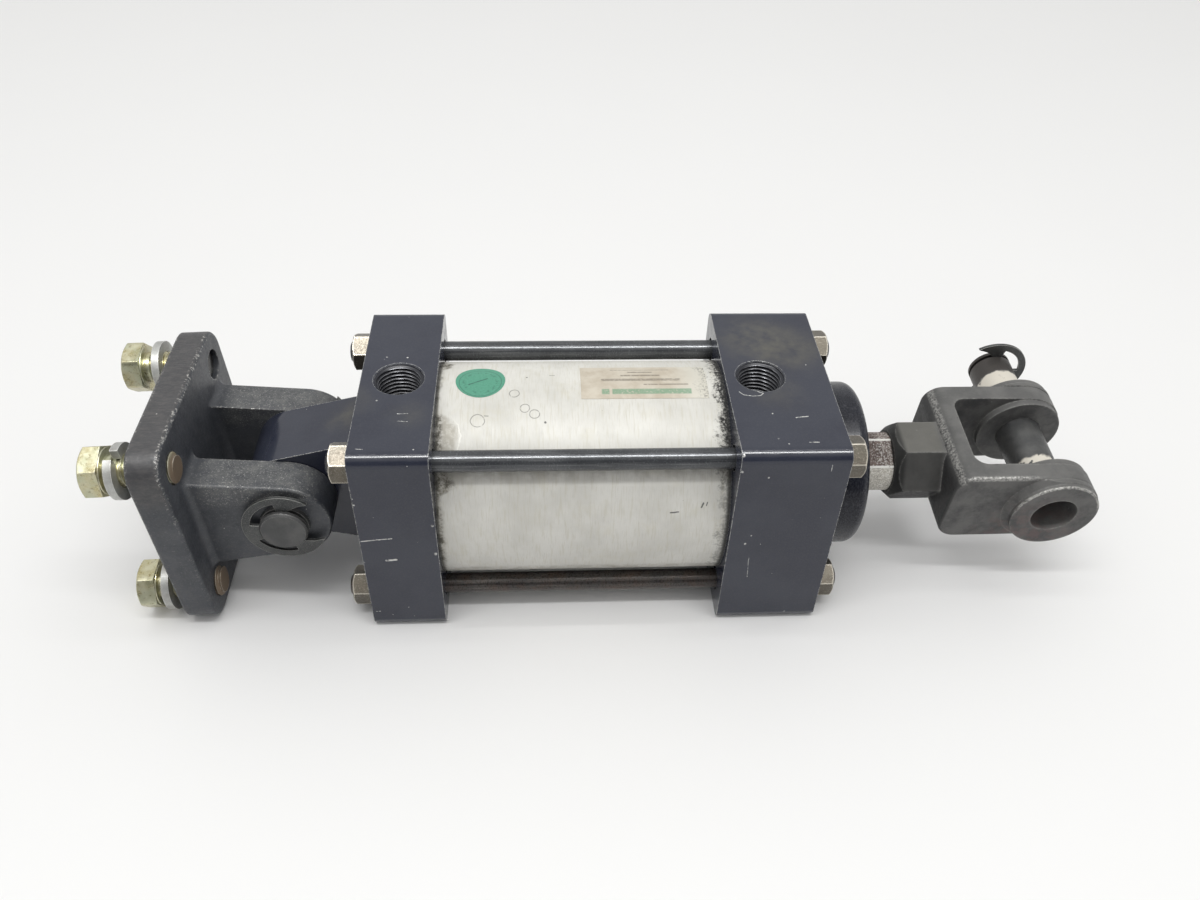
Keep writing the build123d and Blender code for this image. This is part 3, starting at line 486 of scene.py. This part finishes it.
def yellow_zinc():
    """The bolts: worn yellow passivated zinc, with brown tips."""
    g = Graph("yellow_zinc", bevel=0.35)
    patch = g.noise(0.22, 5.0, 0.7)
    iris = g.noise(0.1, 3.0, 0.5)
    colour = g.mix(g.fade(patch, 0.3, 0.7), (0.47, 0.42, 0.23), (0.60, 0.58, 0.43))
    colour = g.mix(g.times(g.fade(iris, 0.45, 0.65), 0.4), colour, (0.40, 0.46, 0.35))
    grime = g.times(g.fade(g.noise(0.6, 5.0, 0.75), 0.54, 0.66), 0.6)
    colour = g.mix(grime, colour, (0.16, 0.12, 0.06))
    ends = g.fade(g.x, -84.0, -82.0)
    colour = g.mix(ends, colour, (0.17, 0.125, 0.085))
    # painted shade: the back top bolt goes near black towards its head
    sunk = g.times(g.fade(g.x, -95.0, -92.0), g.fade(g.y, 15.0, 20.0), g.fade(g.z, 60.0, 65.0))
    colour = g.mix(sunk, colour, (0.025, 0.024, 0.022))
    worn = g.times(g.edge(0.5, 0.03, 0.15), 0.5)
    colour = g.mix(worn, colour, (0.75, 0.74, 0.66))
    rough = g.blend(ends, g.plus(0.24, g.times(g.fade(patch, 0.3, 0.75), 0.22)), 0.6)
    g.bump(g.noise(1.6, 4.0, 0.7), 0.012)
    return g.finish(colour, rough, g.blend(ends, 0.85, 0.4))


def corroded_rod():
    """Chromed inside the gland; outside brown with light flecks above and pale below."""
    g = Graph("rod_chrome", bevel=0.35)
    out = g.fade(g.x, 189.2, 190.4)
    blot = g.noise(0.30, 4.0, 0.6)
    fleck = g.noise(1.35, 4.0, 0.75)
    colour = g.mix(g.fade(blot, 0.35, 0.65), (0.075, 0.052, 0.046), (0.160, 0.120, 0.105))
    crowd = g.fade(g.plus(g.x, g.times(blot, 9.0)), 199.0, 207.0)
    flecks = g.fade(fleck, g.less(0.56, g.times(crowd, 0.06)), g.less(0.62, g.times(crowd, 0.06)))
    colour = g.mix(g.times(flecks, 0.8), colour, (0.56, 0.54, 0.51))
    degrees = g.tube_place()[0]
    low = g.fade(g.plus(degrees, g.times(blot, 8.0)), 36.0, 30.0)
    pale = g.mix(g.fade(fleck, 0.40, 0.60), (0.50, 0.47, 0.40), (0.84, 0.82, 0.76))
    colour = g.mix(g.times(low, 0.9), colour, pale)
    pits = g.fade(g.noise(1.9, 4.0, 0.8), 0.56, 0.62)
    colour = g.mix(g.times(pits, 0.7), colour, (0.05, 0.04, 0.035))
    rims = [g.fade(g.math("ABSOLUTE", g.less(degrees, angle)), 3.2, 1.2) for angle in (31.0, 89.0)]
    bright = g.times(g.most(*rims), g.fade(g.x, 192.5, 193.5), g.fade(fleck, 0.30, 0.42))
    colour = g.mix(bright, colour, (0.80, 0.79, 0.75))
    chrome = g.mix(g.noise(0.8, 2.0, 0.5, stretch=(2.0, 0.2, 0.2)), (0.6, 0.6, 0.6), (0.68, 0.68, 0.68))
    colour = g.mix(out, chrome, colour)
    g.bump(g.times(g.plus(fleck, g.times(pits, -0.4)), out), 0.09)
    return g.finish(colour, g.blend(out, 0.12, 0.60), g.less(1.0, out), Specular_IOR_Level=0.15)


def pin_steel(name, painted):
    """Dark phosphated pin; painted patches are bands of old light paint by the grooves."""
    g = Graph(name, bevel=0.35)
    broad = g.noise(0.11, 4.0, 0.6)
    fine = g.noise(1.2, 5.0, 0.7)
    colour = g.mix(g.fade(broad, 0.3, 0.7), (0.066, 0.067, 0.068), (0.108, 0.108, 0.106))
    worn = g.times(g.edge(0.6, 0.03, 0.15), g.fade(g.noise(0.7, 4.0, 0.7), 0.35, 0.55))
    colour = g.mix(worn, colour, (0.33, 0.32, 0.30))
    paint = 0.0
    if painted:
        place = g.wobbled(3.0, 0.35)
        split = g.add("ShaderNodeSeparateXYZ")
        g.feed(split.inputs[0], place)
        ragged = split.outputs[1]
        front = g.times(g.fade(ragged, -6.0, -7.6), g.fade(ragged, -14.0, -12.5))
        back = g.times(g.fade(ragged, 31.5, 32.6), g.fade(ragged, 46.0, 44.8))
        front = g.times(front, g.fade(g.noise(0.22, 4.0, 0.6), 0.40, 0.46))
        paint = g.most(front, g.times(back, g.fade(g.noise(0.5, 4.0, 0.7), 0.30, 0.40)))
        colour = g.mix(g.fade(g.y, 45.0, 47.0), colour, (0.062, 0.056, 0.052))
        colour = g.mix(paint, colour, (0.66, 0.62, 0.54))
    rough = g.plus(0.36, g.times(g.fade(fine, 0.35, 0.7), 0.2))
    g.bump(fine, 0.02)
    return g.finish(colour, rough, g.times(g.less(1.0, paint), 0.55))


def paper_label():
    """An aged beige label with a plain green bar and blank ruled lines."""
    g = Graph("label_paper", bevel=0.0)
    degrees = g.tube_place()[0]
    cloud = g.noise(0.15, 5.0, 0.65)
    colour = g.mix(g.fade(cloud, 0.3, 0.7), (0.49, 0.43, 0.34), (0.60, 0.55, 0.46))
    colour = g.mix(g.times(g.fade(g.x, 108.0, 120.0), 0.75), colour, (0.66, 0.65, 0.58))
    inside = g.times(g.fade(g.x, 79.0, 80.0), g.fade(g.x, 117.0, 116.0))
    rows = []
    for centre, width, start, end in LABEL_ROWS:
        off = g.math("ABSOLUTE", g.less(degrees, centre))
        row = g.times(g.fade(off, width, width * 0.6), g.fade(g.x, start, start + 0.6))
        rows.append(g.times(row, g.fade(g.x, end + 0.6, end)))
    ink = g.times(g.most(*rows[1:]), g.fade(g.noise(1.2, 3.0, 0.6), 0.3, 0.5))
    colour = g.mix(g.times(ink, 0.65), colour, (0.16, 0.14, 0.11))
    blocks = g.fade(g.noise(0.35, 2.0, 0.5, stretch=(1.0, 0.0, 0.0)), 0.36, 0.40)
    bar = g.times(rows[0], inside, blocks, g.fade(g.noise(1.0, 4.0, 0.7), 0.28, 0.5))
    colour = g.mix(g.times(bar, 0.75), colour, (0.13, 0.30, 0.18))
    grime = g.times(g.fade(g.plus(g.x, g.times(g.less(cloud, 0.5), 14.0)), 117.5, 123.0),
                    g.fade(g.noise(1.0, 5.0, 0.8), 0.46, 0.60))
    colour = g.mix(g.times(grime, 0.7), colour, (0.09, 0.085, 0.075))
    g.bump(cloud, 0.05)
    return g.finish(colour, g.plus(0.42, g.times(cloud, 0.2)), 0.15)


def green_sticker():
    g = Graph("green_sticker", bevel=0.0)
    fibre = g.noise(1.4, 5.0, 0.7)
    colour = g.mix(g.fade(fibre, 0.3, 0.7), (0.062, 0.27, 0.175), (0.092, 0.33, 0.225))
    centre = on_tube(31.9, 91.8)
    place = g.wobbled(0.3, 0.8)
    rim = g.times(g.loop(place, centre, 8.4, 0.5), 0.55)
    pen = g.stroke(place, on_tube(27.4, 89.5), on_tube(34.6, 94.6), 0.9)
    colour = g.mix(g.most(rim, g.times(pen, 0.9)), colour, (0.016, 0.09, 0.065))
    ticks = g.times(g.loop(place, centre, 6.6, 1.5), g.fade(g.noise(0.9, 2.0, 0.5), 0.52, 0.58))
    colour = g.mix(g.times(ticks, 0.5), colour, (0.02, 0.11, 0.08))
    faded = g.times(g.specks(0.9, 0.18, 0.25), 0.5)
    colour = g.mix(faded, colour, (0.24, 0.50, 0.40))
    g.bump(fibre, 0.02)
    return g.finish(colour, g.plus(0.38, g.times(fibre, 0.2)))


def port_black():
    """Anodised thread whose crests are rubbed bright, with painted shade that darkens the crests deeper in
    the port.
    """
    g = Graph("port_thread_black", bevel=0.0)
    half = PORT_SPACING / 2
    across = g.less(g.math("ABSOLUTE", g.less(g.x, half)), half)
    radius = g.vector("LENGTH", g.joined(across, g.y, 0.0))
    sunk = g.times(g.less(TOP, g.z), PORT_TAPER)
    crest = g.fade(g.plus(radius, sunk), THREAD_CREST + 0.20, THREAD_CREST + 0.03)
    crest = g.times(crest, g.fade(g.noise(0.7, 3.0, 0.6), 0.25, 0.5))
    # painted shade: the crests go dark deeper in the port
    crest = g.times(crest, g.fade(g.z, TOP - 15.0, TOP - 6.0))
    colour = g.mix(crest, (0.012, 0.013, 0.020), (0.22, 0.225, 0.24))
    return g.finish(colour, g.blend(crest, 0.4, 0.3), g.blend(crest, 0.1, 0.6))


def plain(name, dark, light, roughness, metallic, scale=0.4, bump=0.01, stretch=None, bevel=0.3):
    """A simple worked surface for pieces inside the cylinder."""
    g = Graph(name, bevel=bevel)
    cloud = g.noise(scale, 5.0, 0.65, stretch=stretch)
    fine = g.noise(scale * 6, 3.0, 0.6, stretch=stretch)
    colour = g.mix(g.fade(cloud, 0.3, 0.7), dark, light)
    g.bump(fine, bump)
    return g.finish(colour, g.plus(roughness, g.times(fine, 0.15)), metallic)


# ------------------------------------------------------------------ placed marks, mm
CAP_MARKS = (
    (((-15.0, -HALF, 52.4), (-8.0, -HALF, 53.3), (-2.4, -HALF, 53.8)), 0.7),
    (((-5.7, -HALF, 41.2), (-1.8, -HALF, 41.7)), 1.3),
    (((1.5, -21.8, TOP), (5.5, -21.6, TOP)), 0.35),
    (((1.8, -26.0, TOP), (5.8, -26.4, TOP)), 0.3),
    (((-13.4, -HALF, 9.8), (-11.8, -HALF, 9.9)), 0.5),
    (((-11.6, -41.5, TOP), (-9.0, -41.8, TOP)), 0.4),
)
CAP_CHIPS = (
    ((13.8, -HALF, 60.6), 0.7), ((13.9, -HALF, 44.6), 0.9), ((-14.4, -HALF, 72.4), 0.5),
    ((-14.8, -HALF, 40.2), 0.6), ((-14.8, -HALF, 75.6), 0.6), ((-6.1, 14.2, TOP), 0.5),
    ((2.2, 13.7, TOP), 0.5), ((-7.1, -13.6, TOP), 0.5), ((9.4, -42.2, TOP), 0.4),
)
HEAD_MARKS = (
    (((134.3, -10.1, TOP), (135.6, -12.0, TOP), (139.2, -12.9, TOP), (142.5, -12.6, TOP),
      (143.8, -11.2, TOP), (141.5, -10.0, TOP)), 0.5),
    (((154.0, -26.2, TOP), (158.8, -25.5, TOP)), 0.7),
    (((156.4, -40.5, TOP), (159.9, -40.6, TOP)), 0.6),
    (((139.3, -HALF, 40.0), (140.2, -HALF, 27.5)), 0.25),
    (((164.4, -HALF, 90.0), (164.5, -HALF, 87.0)), 0.4),
)
HEAD_CHIPS = (
    ((145.3, -23.7, TOP), 0.5), ((145.0, -38.4, TOP), 0.5), ((148.4, -41.3, TOP), 0.4),
    ((138.7, -HALF, 52.2), 0.4), ((136.9, -HALF, 47.5), 0.7), ((159.2, -HALF, 4.4), 0.5),
    ((141.2, -HALF, 84.0), 0.5), ((130.6, -46.0, 94.0), 0.9), ((130.6, -HALF, 87.0), 0.8),
)
HEAD_STAINS = (
    ((146.0, 26.0, TOP), 22.0, 0.75), ((160.0, 18.0, TOP), 22.0, 0.65), ((150.0, -10.0, TOP), 16.0, 0.35),
)
CAP_STAINS = (
    ((-22.0, 4.0, 68.0), 14.0, 0.7), ((-15.0, -14.0, 90.0), 13.0, 0.5), ((6.0, -22.0, TOP), 12.0, 0.25),
)
BRACKET_SCRATCHES = (
    (((-96.0, -40.0, 84.0), (-90.0, -44.0, 82.0), (-86.0, -43.0, 85.0)), 0.6),
    (((-95.0, -43.0, 80.0), (-88.0, -45.0, 78.0)), 0.4),
    (((-84.0, -38.0, 25.0), (-84.0, -34.0, 22.0), (-84.0, -31.0, 24.0)), 0.5),
    (((-90.0, -45.0, 30.0), (-84.0, -45.0, 33.0)), 0.5),
)
REAR_STAINS = ((56.0, 17.0, 7.2), (35.0, 9.0, 6.5), (111.0, 8.0, 4.2), (0.0, 30.0, 1.6))
PEN_RINGS = ((31.3, 66.1, 2.7), (45.5, 82.8, 1.9), (49.7, 73.1, 1.9), (53.5, 69.6, 1.9))
TUBE_NICKS = (
    ((106.3, 17.0), (109.5, 17.4), 0.8), ((118.5, 20.0), (119.2, 22.2), 0.9),
    ((120.4, 20.8), (120.8, 22.6), 0.6), ((59.6, 97.5), (61.6, 97.6), 0.35),
    ((34.0, 68.9), (35.4, 68.6), 0.4),
)
LABEL_ROWS = (
    (83.4, 2.3, 80.0, 116.0), (88.6, 0.6, 97.0, 115.0), (92.6, 1.25, 80.0, 112.0),
    (96.6, 0.9, 88.0, 104.0), (99.9, 0.8, 91.0, 101.0), (102.5, 0.4, 84.0, 108.0),
)


# ------------------------------------------------------------------ new pieces
COLUMNS = 72
PORT_SPACING = 144.4
PORT_TAPER = 0.03
PORT_PITCH = 1.814
PORT_WALL = 9.74
PORT_THREAD = 17.0
PORT_THREAD_START = 0.5
PORT_LEAD_IN = 0.9
THREAD_ROOT = 9.68
THREAD_CREST = 8.56
ROWS_PER_TURN = 10
# a thread's flank: how steep it is, and how much of it is cut off flat
BOLT_FLANK, BOLT_FLAT = 1.35, 0.15
PORT_FLANK, PORT_FLAT = 1.5, 0.25


def lathe(rings, closed_loop=False):
    """A mesh from rings of COLUMNS (x, y, z) points; capped unless the rings form a closed loop."""
    points = [p for ring in rings for p in ring]
    faces = []
    spans = len(rings) if closed_loop else len(rings) - 1
    for i in range(spans):
        a, b = i * COLUMNS, (i + 1) % len(rings) * COLUMNS
        for j in range(COLUMNS):
            k = (j + 1) % COLUMNS
            faces.append((a + j, a + k, b + k, b + j))
    if not closed_loop:
        for ring, order in ((0, -1), (len(rings) - 1, 1)):
            cap = [ring * COLUMNS + j for j in range(COLUMNS)]
            faces.append(tuple(cap[::order]))
    return points, faces


def thread_rings(start, end, crest, depth, pitch, lead_in=0.0):
    """Rings of a helical thread along +X from start to end."""
    count = max(2, int(round((end - start) / pitch * ROWS_PER_TURN)))
    rings = []
    for i in range(count + 1):
        x = start + (end - start) * i / count
        taper = max(0.0, lead_in - (end - x))
        ring = []
        for j in range(COLUMNS):
            phase = (x / pitch - j / COLUMNS) % 1.0
            groove = min(1.0, max(0.0, BOLT_FLANK * (1.0 - abs(2.0 * phase - 1.0)) - BOLT_FLAT))
            radius = crest - depth * groove - taper
            turn = 2.0 * math.pi * j / COLUMNS
            ring.append((x, radius * math.cos(turn), radius * math.sin(turn)))
        rings.append(ring)
    return rings


def circle_ring(x, radius, limit=None, turn=0.0):
    """A ring at x; limit gives a hexagon's across-flats, cutting the circle down to the hexagon."""
    ring = []
    for j in range(COLUMNS):
        angle = 2.0 * math.pi * j / COLUMNS
        reach = radius
        if limit:
            sector = (angle - math.radians(turn)) % (math.pi / 3) - math.pi / 6
            reach = min(radius, limit / 2 / math.cos(sector))
        ring.append((x, reach * math.cos(angle), reach * math.sin(angle)))
    return ring


def piece(name, parts, body, material, place=Matrix.Identity(4), crease=35.0):
    """An object from (points, faces) parts in millimetres, placed and riding on a body."""
    points, faces = [], []
    for more_points, more_faces in parts:
        base = len(points)
        points += more_points
        faces += [tuple(base + i for i in face) for face in more_faces]
    data = bpy.data.meshes.new(name)
    data.from_pydata([Vector(p) * MM for p in points], [], faces)
    data.transform(place)
    data.validate()
    data.polygons.foreach_set("use_smooth", [True] * len(data.polygons))
    data.set_sharp_from_angle(angle=math.radians(crease))
    data.materials.append(material)
    made = bpy.data.objects.new(name, data)
    SCENE.collection.objects.link(made)
    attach(made, body)
    return made


INCH = 25.4
BOLT_OFFSET = 2.55 * INCH / 2
BOLT_END = -1.875 * INCH + 12.7
BOLT_HEAD = 5 / 16 * INCH
BOLT_AF = 0.75 * INCH
BOLT_FACE_SHARE = 0.97
BOLT_CENTRE_SHARE = 0.55
BOLT_CHAMFER_STEPS = 6
BOLT_CHAMFER_STEP = 0.22
BOLT_CHAMFER_SLOPE = 1.732
BOLT_COLLAR = 0.4
BOLT_NECK_R = 6.3
BOLT_NECK = 1.6
BOLT_THREAD_FROM = 2.2
BOLT_THREAD_R = 6.33
BOLT_THREAD_DEPTH = 0.95
BOLT_PITCH = 1.954
BOLT_LEAD_IN = 1.1
# each bolt: its side in y and z, how far its tip stands proud, and its turn in degrees
BOLTS = ((-1, 1, 1.6, 20.0), (-1, -1, 2.6, 4.0), (1, 1, -1.6, 12.0), (1, -1, 0.9, 27.0))


def bolt(y, z, end, turn):
    """A hex bolt along +X: chamfered head, washer face, plain neck, thread to the tip."""
    seat = end - INCH
    top = seat - BOLT_HEAD
    flat = BOLT_AF / 2 * BOLT_FACE_SHARE
    rings = [circle_ring(top, flat * BOLT_CENTRE_SHARE), circle_ring(top, flat)]
    for step in range(1, BOLT_CHAMFER_STEPS + 1):
        drop = step * BOLT_CHAMFER_STEP
        rings.append(circle_ring(top + drop, flat + drop * BOLT_CHAMFER_SLOPE, BOLT_AF, turn))
    rings.append(circle_ring(seat - BOLT_COLLAR - 0.05, BOLT_AF, BOLT_AF, turn))
    rings.append(circle_ring(seat - BOLT_COLLAR, BOLT_AF / 2 - BOLT_COLLAR + 0.05))
    rings.append(circle_ring(seat, BOLT_AF / 2 - BOLT_COLLAR))
    rings.append(circle_ring(seat, BOLT_NECK_R))
    rings.append(circle_ring(seat + BOLT_NECK, BOLT_NECK_R))
    rings += thread_rings(seat + BOLT_THREAD_FROM, end, BOLT_THREAD_R, BOLT_THREAD_DEPTH, BOLT_PITCH,
                          lead_in=BOLT_LEAD_IN)
    points, faces = lathe(rings)
    return [(px, py + y, pz + z) for px, py, pz in points], faces


def bolts(material):
    parts = []
    for side_y, side_z, proud, turn in BOLTS:
        parts.append(bolt(side_y * BOLT_OFFSET, side_z * BOLT_OFFSET, BOLT_END + proud, turn))
    swing = Matrix.Rotation(math.radians(BRACKET_SWING), 4, "Y")
    place = Matrix.Translation(Vector((PIVOT_X, 0.0, AXIS)) * MM) @ swing
    made = piece("hex_bolts", parts, "bracket", material, place)
    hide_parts("mounting_bolts")


def port_thread(name, x, material):
    """The pipe thread inside a port, as a thin threaded sleeve with its axis along Z."""
    rows = [circle_ring(0.0, PORT_WALL)]
    count = int(PORT_THREAD / PORT_PITCH * ROWS_PER_TURN)
    for i in range(count + 1):
        depth = PORT_THREAD * i / count
        row = []
        for j in range(COLUMNS):
            phase = (depth / PORT_PITCH - j / COLUMNS) % 1.0
            ridge = min(1.0, max(0.0, PORT_FLANK * (1.0 - abs(2.0 * phase - 1.0)) - PORT_FLAT))
            ridge *= min(1.0, depth / PORT_LEAD_IN)
            radius = THREAD_ROOT - (THREAD_ROOT - THREAD_CREST) * ridge - depth * PORT_TAPER
            turn = 2.0 * math.pi * j / COLUMNS
            row.append((depth, radius * math.cos(turn), radius * math.sin(turn)))
        rows.append(row)
    rows.append(circle_ring(PORT_THREAD, PORT_WALL))
    mouth = Vector((x, 0.0, TOP - PORT_THREAD_START))
    down = Matrix.Translation(mouth * MM) @ Matrix.Rotation(math.pi / 2, 4, "Y")
    made = piece(name, [lathe(rows, closed_loop=True)], "barrel", material, down)


# ------------------------------------------------------------------ build
dress(anodised("cap_anodised", CAP_MARKS, CAP_CHIPS, CAP_STAINS), "rear_cap")
dress(anodised("head_anodised", HEAD_MARKS, HEAD_CHIPS, HEAD_STAINS), "front_head")
dress(brushed_tube(), "barrel_tube")
rod_grey = dark_steel("tie_rod_steel", (0.050, 0.053, 0.058), (0.080, 0.084, 0.090), (0.30, 0.30, 0.30),
                      roughness=0.14, metallic=0.35, drawn=(0.02, 1.2, 1.2), grain=0.0008, specks=0.15)
rod_brown = dark_steel("tie_rod_brown", (0.036, 0.034, 0.033), (0.062, 0.056, 0.052), (0.30, 0.26, 0.23),
                       rust=0.4, roughness=0.24, metallic=0.4, drawn=(0.02, 1.2, 1.2), grain=0.002,
                       specks=0.2)
dress(rod_grey, "tie_rod_front_top", "tie_rod_back_top", "tie_rod_back_bottom")
dress(rod_brown, "tie_rod_front_bottom")
dress(dark_steel("nut_bronze", (0.085, 0.077, 0.062), (0.150, 0.134, 0.106), (0.62, 0.58, 0.50),
                 rust=0.12, roughness=0.30, metallic=0.7, drawn=(1.0, 1.0, 1.0), edge=0.8,
                 edge_share=1.0, specks=0.3),
      "rear_tie_rod_nuts", "front_tie_rod_nuts")
dress(dark_steel("retainer_black", (0.008, 0.009, 0.015), (0.014, 0.016, 0.024), (0.20, 0.20, 0.22),
                 roughness=0.20, metallic=0.0, drawn=(2.0, 0.3, 0.3), edge=0.4, edge_share=0.4, grain=0.003,
                 specks=0.1, specular=0.28),
      "gland_retainer")
dress(casting(), "clevis_bracket")
dress(forging(), "rod_clevis")
zinc = yellow_zinc()
dress(zinc, "mounting_bolts")
dress(dark_steel("washer_zinc", (0.36, 0.365, 0.35), (0.54, 0.545, 0.52), (0.74, 0.74, 0.71),
                 rust=0.3, roughness=0.40, metallic=0.5, drawn=(1.0, 1.0, 1.0), edge=0.4), "lock_washers")
dress(corroded_rod(), "piston_rod")
dress(pin_steel("pivot_pin_steel", False), "pivot_pin")
dress(pin_steel("clevis_pin_steel", True), "clevis_pin")
dress(dark_steel("ring_steel", (0.045, 0.047, 0.048), (0.090, 0.092, 0.090), (0.34, 0.34, 0.32),
                 roughness=0.34, metallic=0.6, drawn=(1.0, 1.0, 1.0), edge=0.3, bevel=0.2),
      "pivot_pin_rings", "clevis_pin_ring")
dress(paper_label(), "data_label")
dress(green_sticker(), "inspection_sticker")
dress(plain("oiled_steel", (0.16, 0.16, 0.155), (0.26, 0.26, 0.25), 0.32, 0.9),
      "piston_nut", "retainer_screws")
dress(plain("piston_aluminium", (0.62, 0.62, 0.61), (0.72, 0.72, 0.71), 0.3, 1.0, stretch=(3.0, 0.2, 0.2)),
      "piston")
dress(plain("bearing_bronze", (0.44, 0.30, 0.13), (0.56, 0.40, 0.19), 0.3, 1.0, stretch=(3.0, 0.2, 0.2)),
      "rod_bushing")
dress(plain("seal_rubber", (0.012, 0.012, 0.012), (0.028, 0.028, 0.028), 0.5, 0.0, scale=0.8, bump=0.02),
      "rod_seal", "rod_wiper", "gland_seal_ring", "piston_seals", "rear_tube_seal", "front_tube_seal")
dress(plain("wear_band", (0.58, 0.50, 0.34), (0.70, 0.62, 0.44), 0.5, 0.0), "piston_wear_band")
thread_black = port_black()
bolts(zinc)
port_thread("cap_port_thread", 0.0, thread_black)
port_thread("head_port_thread", PORT_SPACING, thread_black)


# ------------------------------------------------------------------ floor, light, camera
# the floor, the room and the lights are in metres
FLOOR_HALF = 4.0
ROOM_GREY = (0.90, 0.90, 0.90)
ROOM_DARK = (0.14, 0.14, 0.16)
ROOM_TOP = (1.02, 1.02, 1.0)
ROOM_STRENGTH = 0.885
LIGHT_TARGET = (0.07, 0.0, 0.03)
STRIP_LENGTH = 1.4
CAMERA_PLACE = (57.0, -316.8, 342.0)
CAMERA_YAW = 4.3
CAMERA_PITCH = 42.0
CAMERA_ROLL = -2.23
CAMERA_SENSOR = 36.0
CAMERA_LENS = 30.1


def floor():
    corners = [(-FLOOR_HALF, -FLOOR_HALF, 0), (FLOOR_HALF, -FLOOR_HALF, 0),
               (FLOOR_HALF, FLOOR_HALF, 0), (-FLOOR_HALF, FLOOR_HALF, 0)]
    data = bpy.data.meshes.new("floor")
    data.from_pydata(corners, [], [(0, 1, 2, 3)])
    g = Graph("floor_white", bevel=0.0)
    cloud = g.noise(0.006, 3.0, 0.5)
    colour = g.mix(cloud, (0.825, 0.822, 0.818), (0.842, 0.840, 0.836))
    data.materials.append(g.finish(colour, 0.5))
    made = bpy.data.objects.new("floor", data)
    SCENE.collection.objects.link(made)


def strip_light(name, place, width, radiance, gloss_only=False):
    """A long light of a given radiance, so its width doesn't change how bright it looks."""
    data = bpy.data.lights.new(name, "AREA")
    data.shape = "RECTANGLE"
    data.size, data.size_y = STRIP_LENGTH, width
    data.energy = radiance * math.pi * STRIP_LENGTH * width
    made = bpy.data.objects.new(name, data)
    made.location = place
    made.rotation_euler = (Vector(LIGHT_TARGET) - Vector(place)).to_track_quat("-Z", "Y").to_euler()
    made.visible_diffuse = not gloss_only
    SCENE.collection.objects.link(made)


def world():
    """A pale room: brightest above, dark behind the viewer between the floor and the lights."""
    made = bpy.data.worlds.new("studio")
    made.use_nodes = True
    tree = made.node_tree
    tree.nodes.clear()
    output = tree.nodes.new("ShaderNodeOutputWorld")
    background = tree.nodes.new("ShaderNodeBackground")
    tree.links.new(background.outputs[0], output.inputs[0])
    direction = tree.nodes.new("ShaderNodeTexCoord").outputs["Generated"]
    split = tree.nodes.new("ShaderNodeSeparateXYZ")
    tree.links.new(direction, split.inputs[0])

    def fade(value, low, high):
        node = tree.nodes.new("ShaderNodeMapRange")
        node.interpolation_type = "SMOOTHSTEP"
        tree.links.new(value, node.inputs["Value"])
        node.inputs["From Min"].default_value = low
        node.inputs["From Max"].default_value = high
        return node.outputs["Result"]

    def mixed(factor, a, b):
        node = tree.nodes.new("ShaderNodeMix")
        node.data_type = "RGBA"
        tree.links.new(factor, node.inputs[0])
        for socket, value in ((node.inputs[6], a), (node.inputs[7], b)):
            if isinstance(value, bpy.types.NodeSocket):
                tree.links.new(value, socket)
            else:
                socket.default_value = (*value, 1.0)
        return node.outputs[2]

    low = mixed(fade(split.outputs[1], -0.45, -0.80), ROOM_GREY, ROOM_DARK)
    colour = mixed(fade(split.outputs[2], 0.50, 0.74), low, ROOM_TOP)
    tree.links.new(colour, background.inputs["Color"])
    background.inputs["Strength"].default_value = ROOM_STRENGTH
    SCENE.world = made


def camera():
    yaw, pitch, roll = (math.radians(angle) for angle in (CAMERA_YAW, CAMERA_PITCH, CAMERA_ROLL))
    ahead = Vector((math.sin(yaw) * math.cos(pitch), math.cos(yaw) * math.cos(pitch), -math.sin(pitch)))
    level = Vector((math.cos(yaw), -math.sin(yaw), 0.0))
    below = ahead.cross(level)
    right = level * math.cos(roll) + below * math.sin(roll)
    down = below * math.cos(roll) - level * math.sin(roll)
    turn = Matrix((right, -down, -ahead)).transposed().to_4x4()
    data = bpy.data.cameras.new("camera")
    data.sensor_width = CAMERA_SENSOR
    data.lens = CAMERA_LENS
    made = bpy.data.objects.new("camera", data)
    made.matrix_world = Matrix.Translation(Vector(CAMERA_PLACE) * MM) @ turn
    SCENE.collection.objects.link(made)
    SCENE.camera = made


floor()
world()
strip_light("key_strip", (0.05, -0.30, 1.30), 0.075, 18.0)
strip_light("back_strip", (0.07, 0.08, 1.30), 0.028, 14.5)
strip_light("edge_strip", (0.05, -0.31, 1.28), 0.22, 18.0, gloss_only=True)
camera()
SCENE.view_settings.view_transform = "Standard"
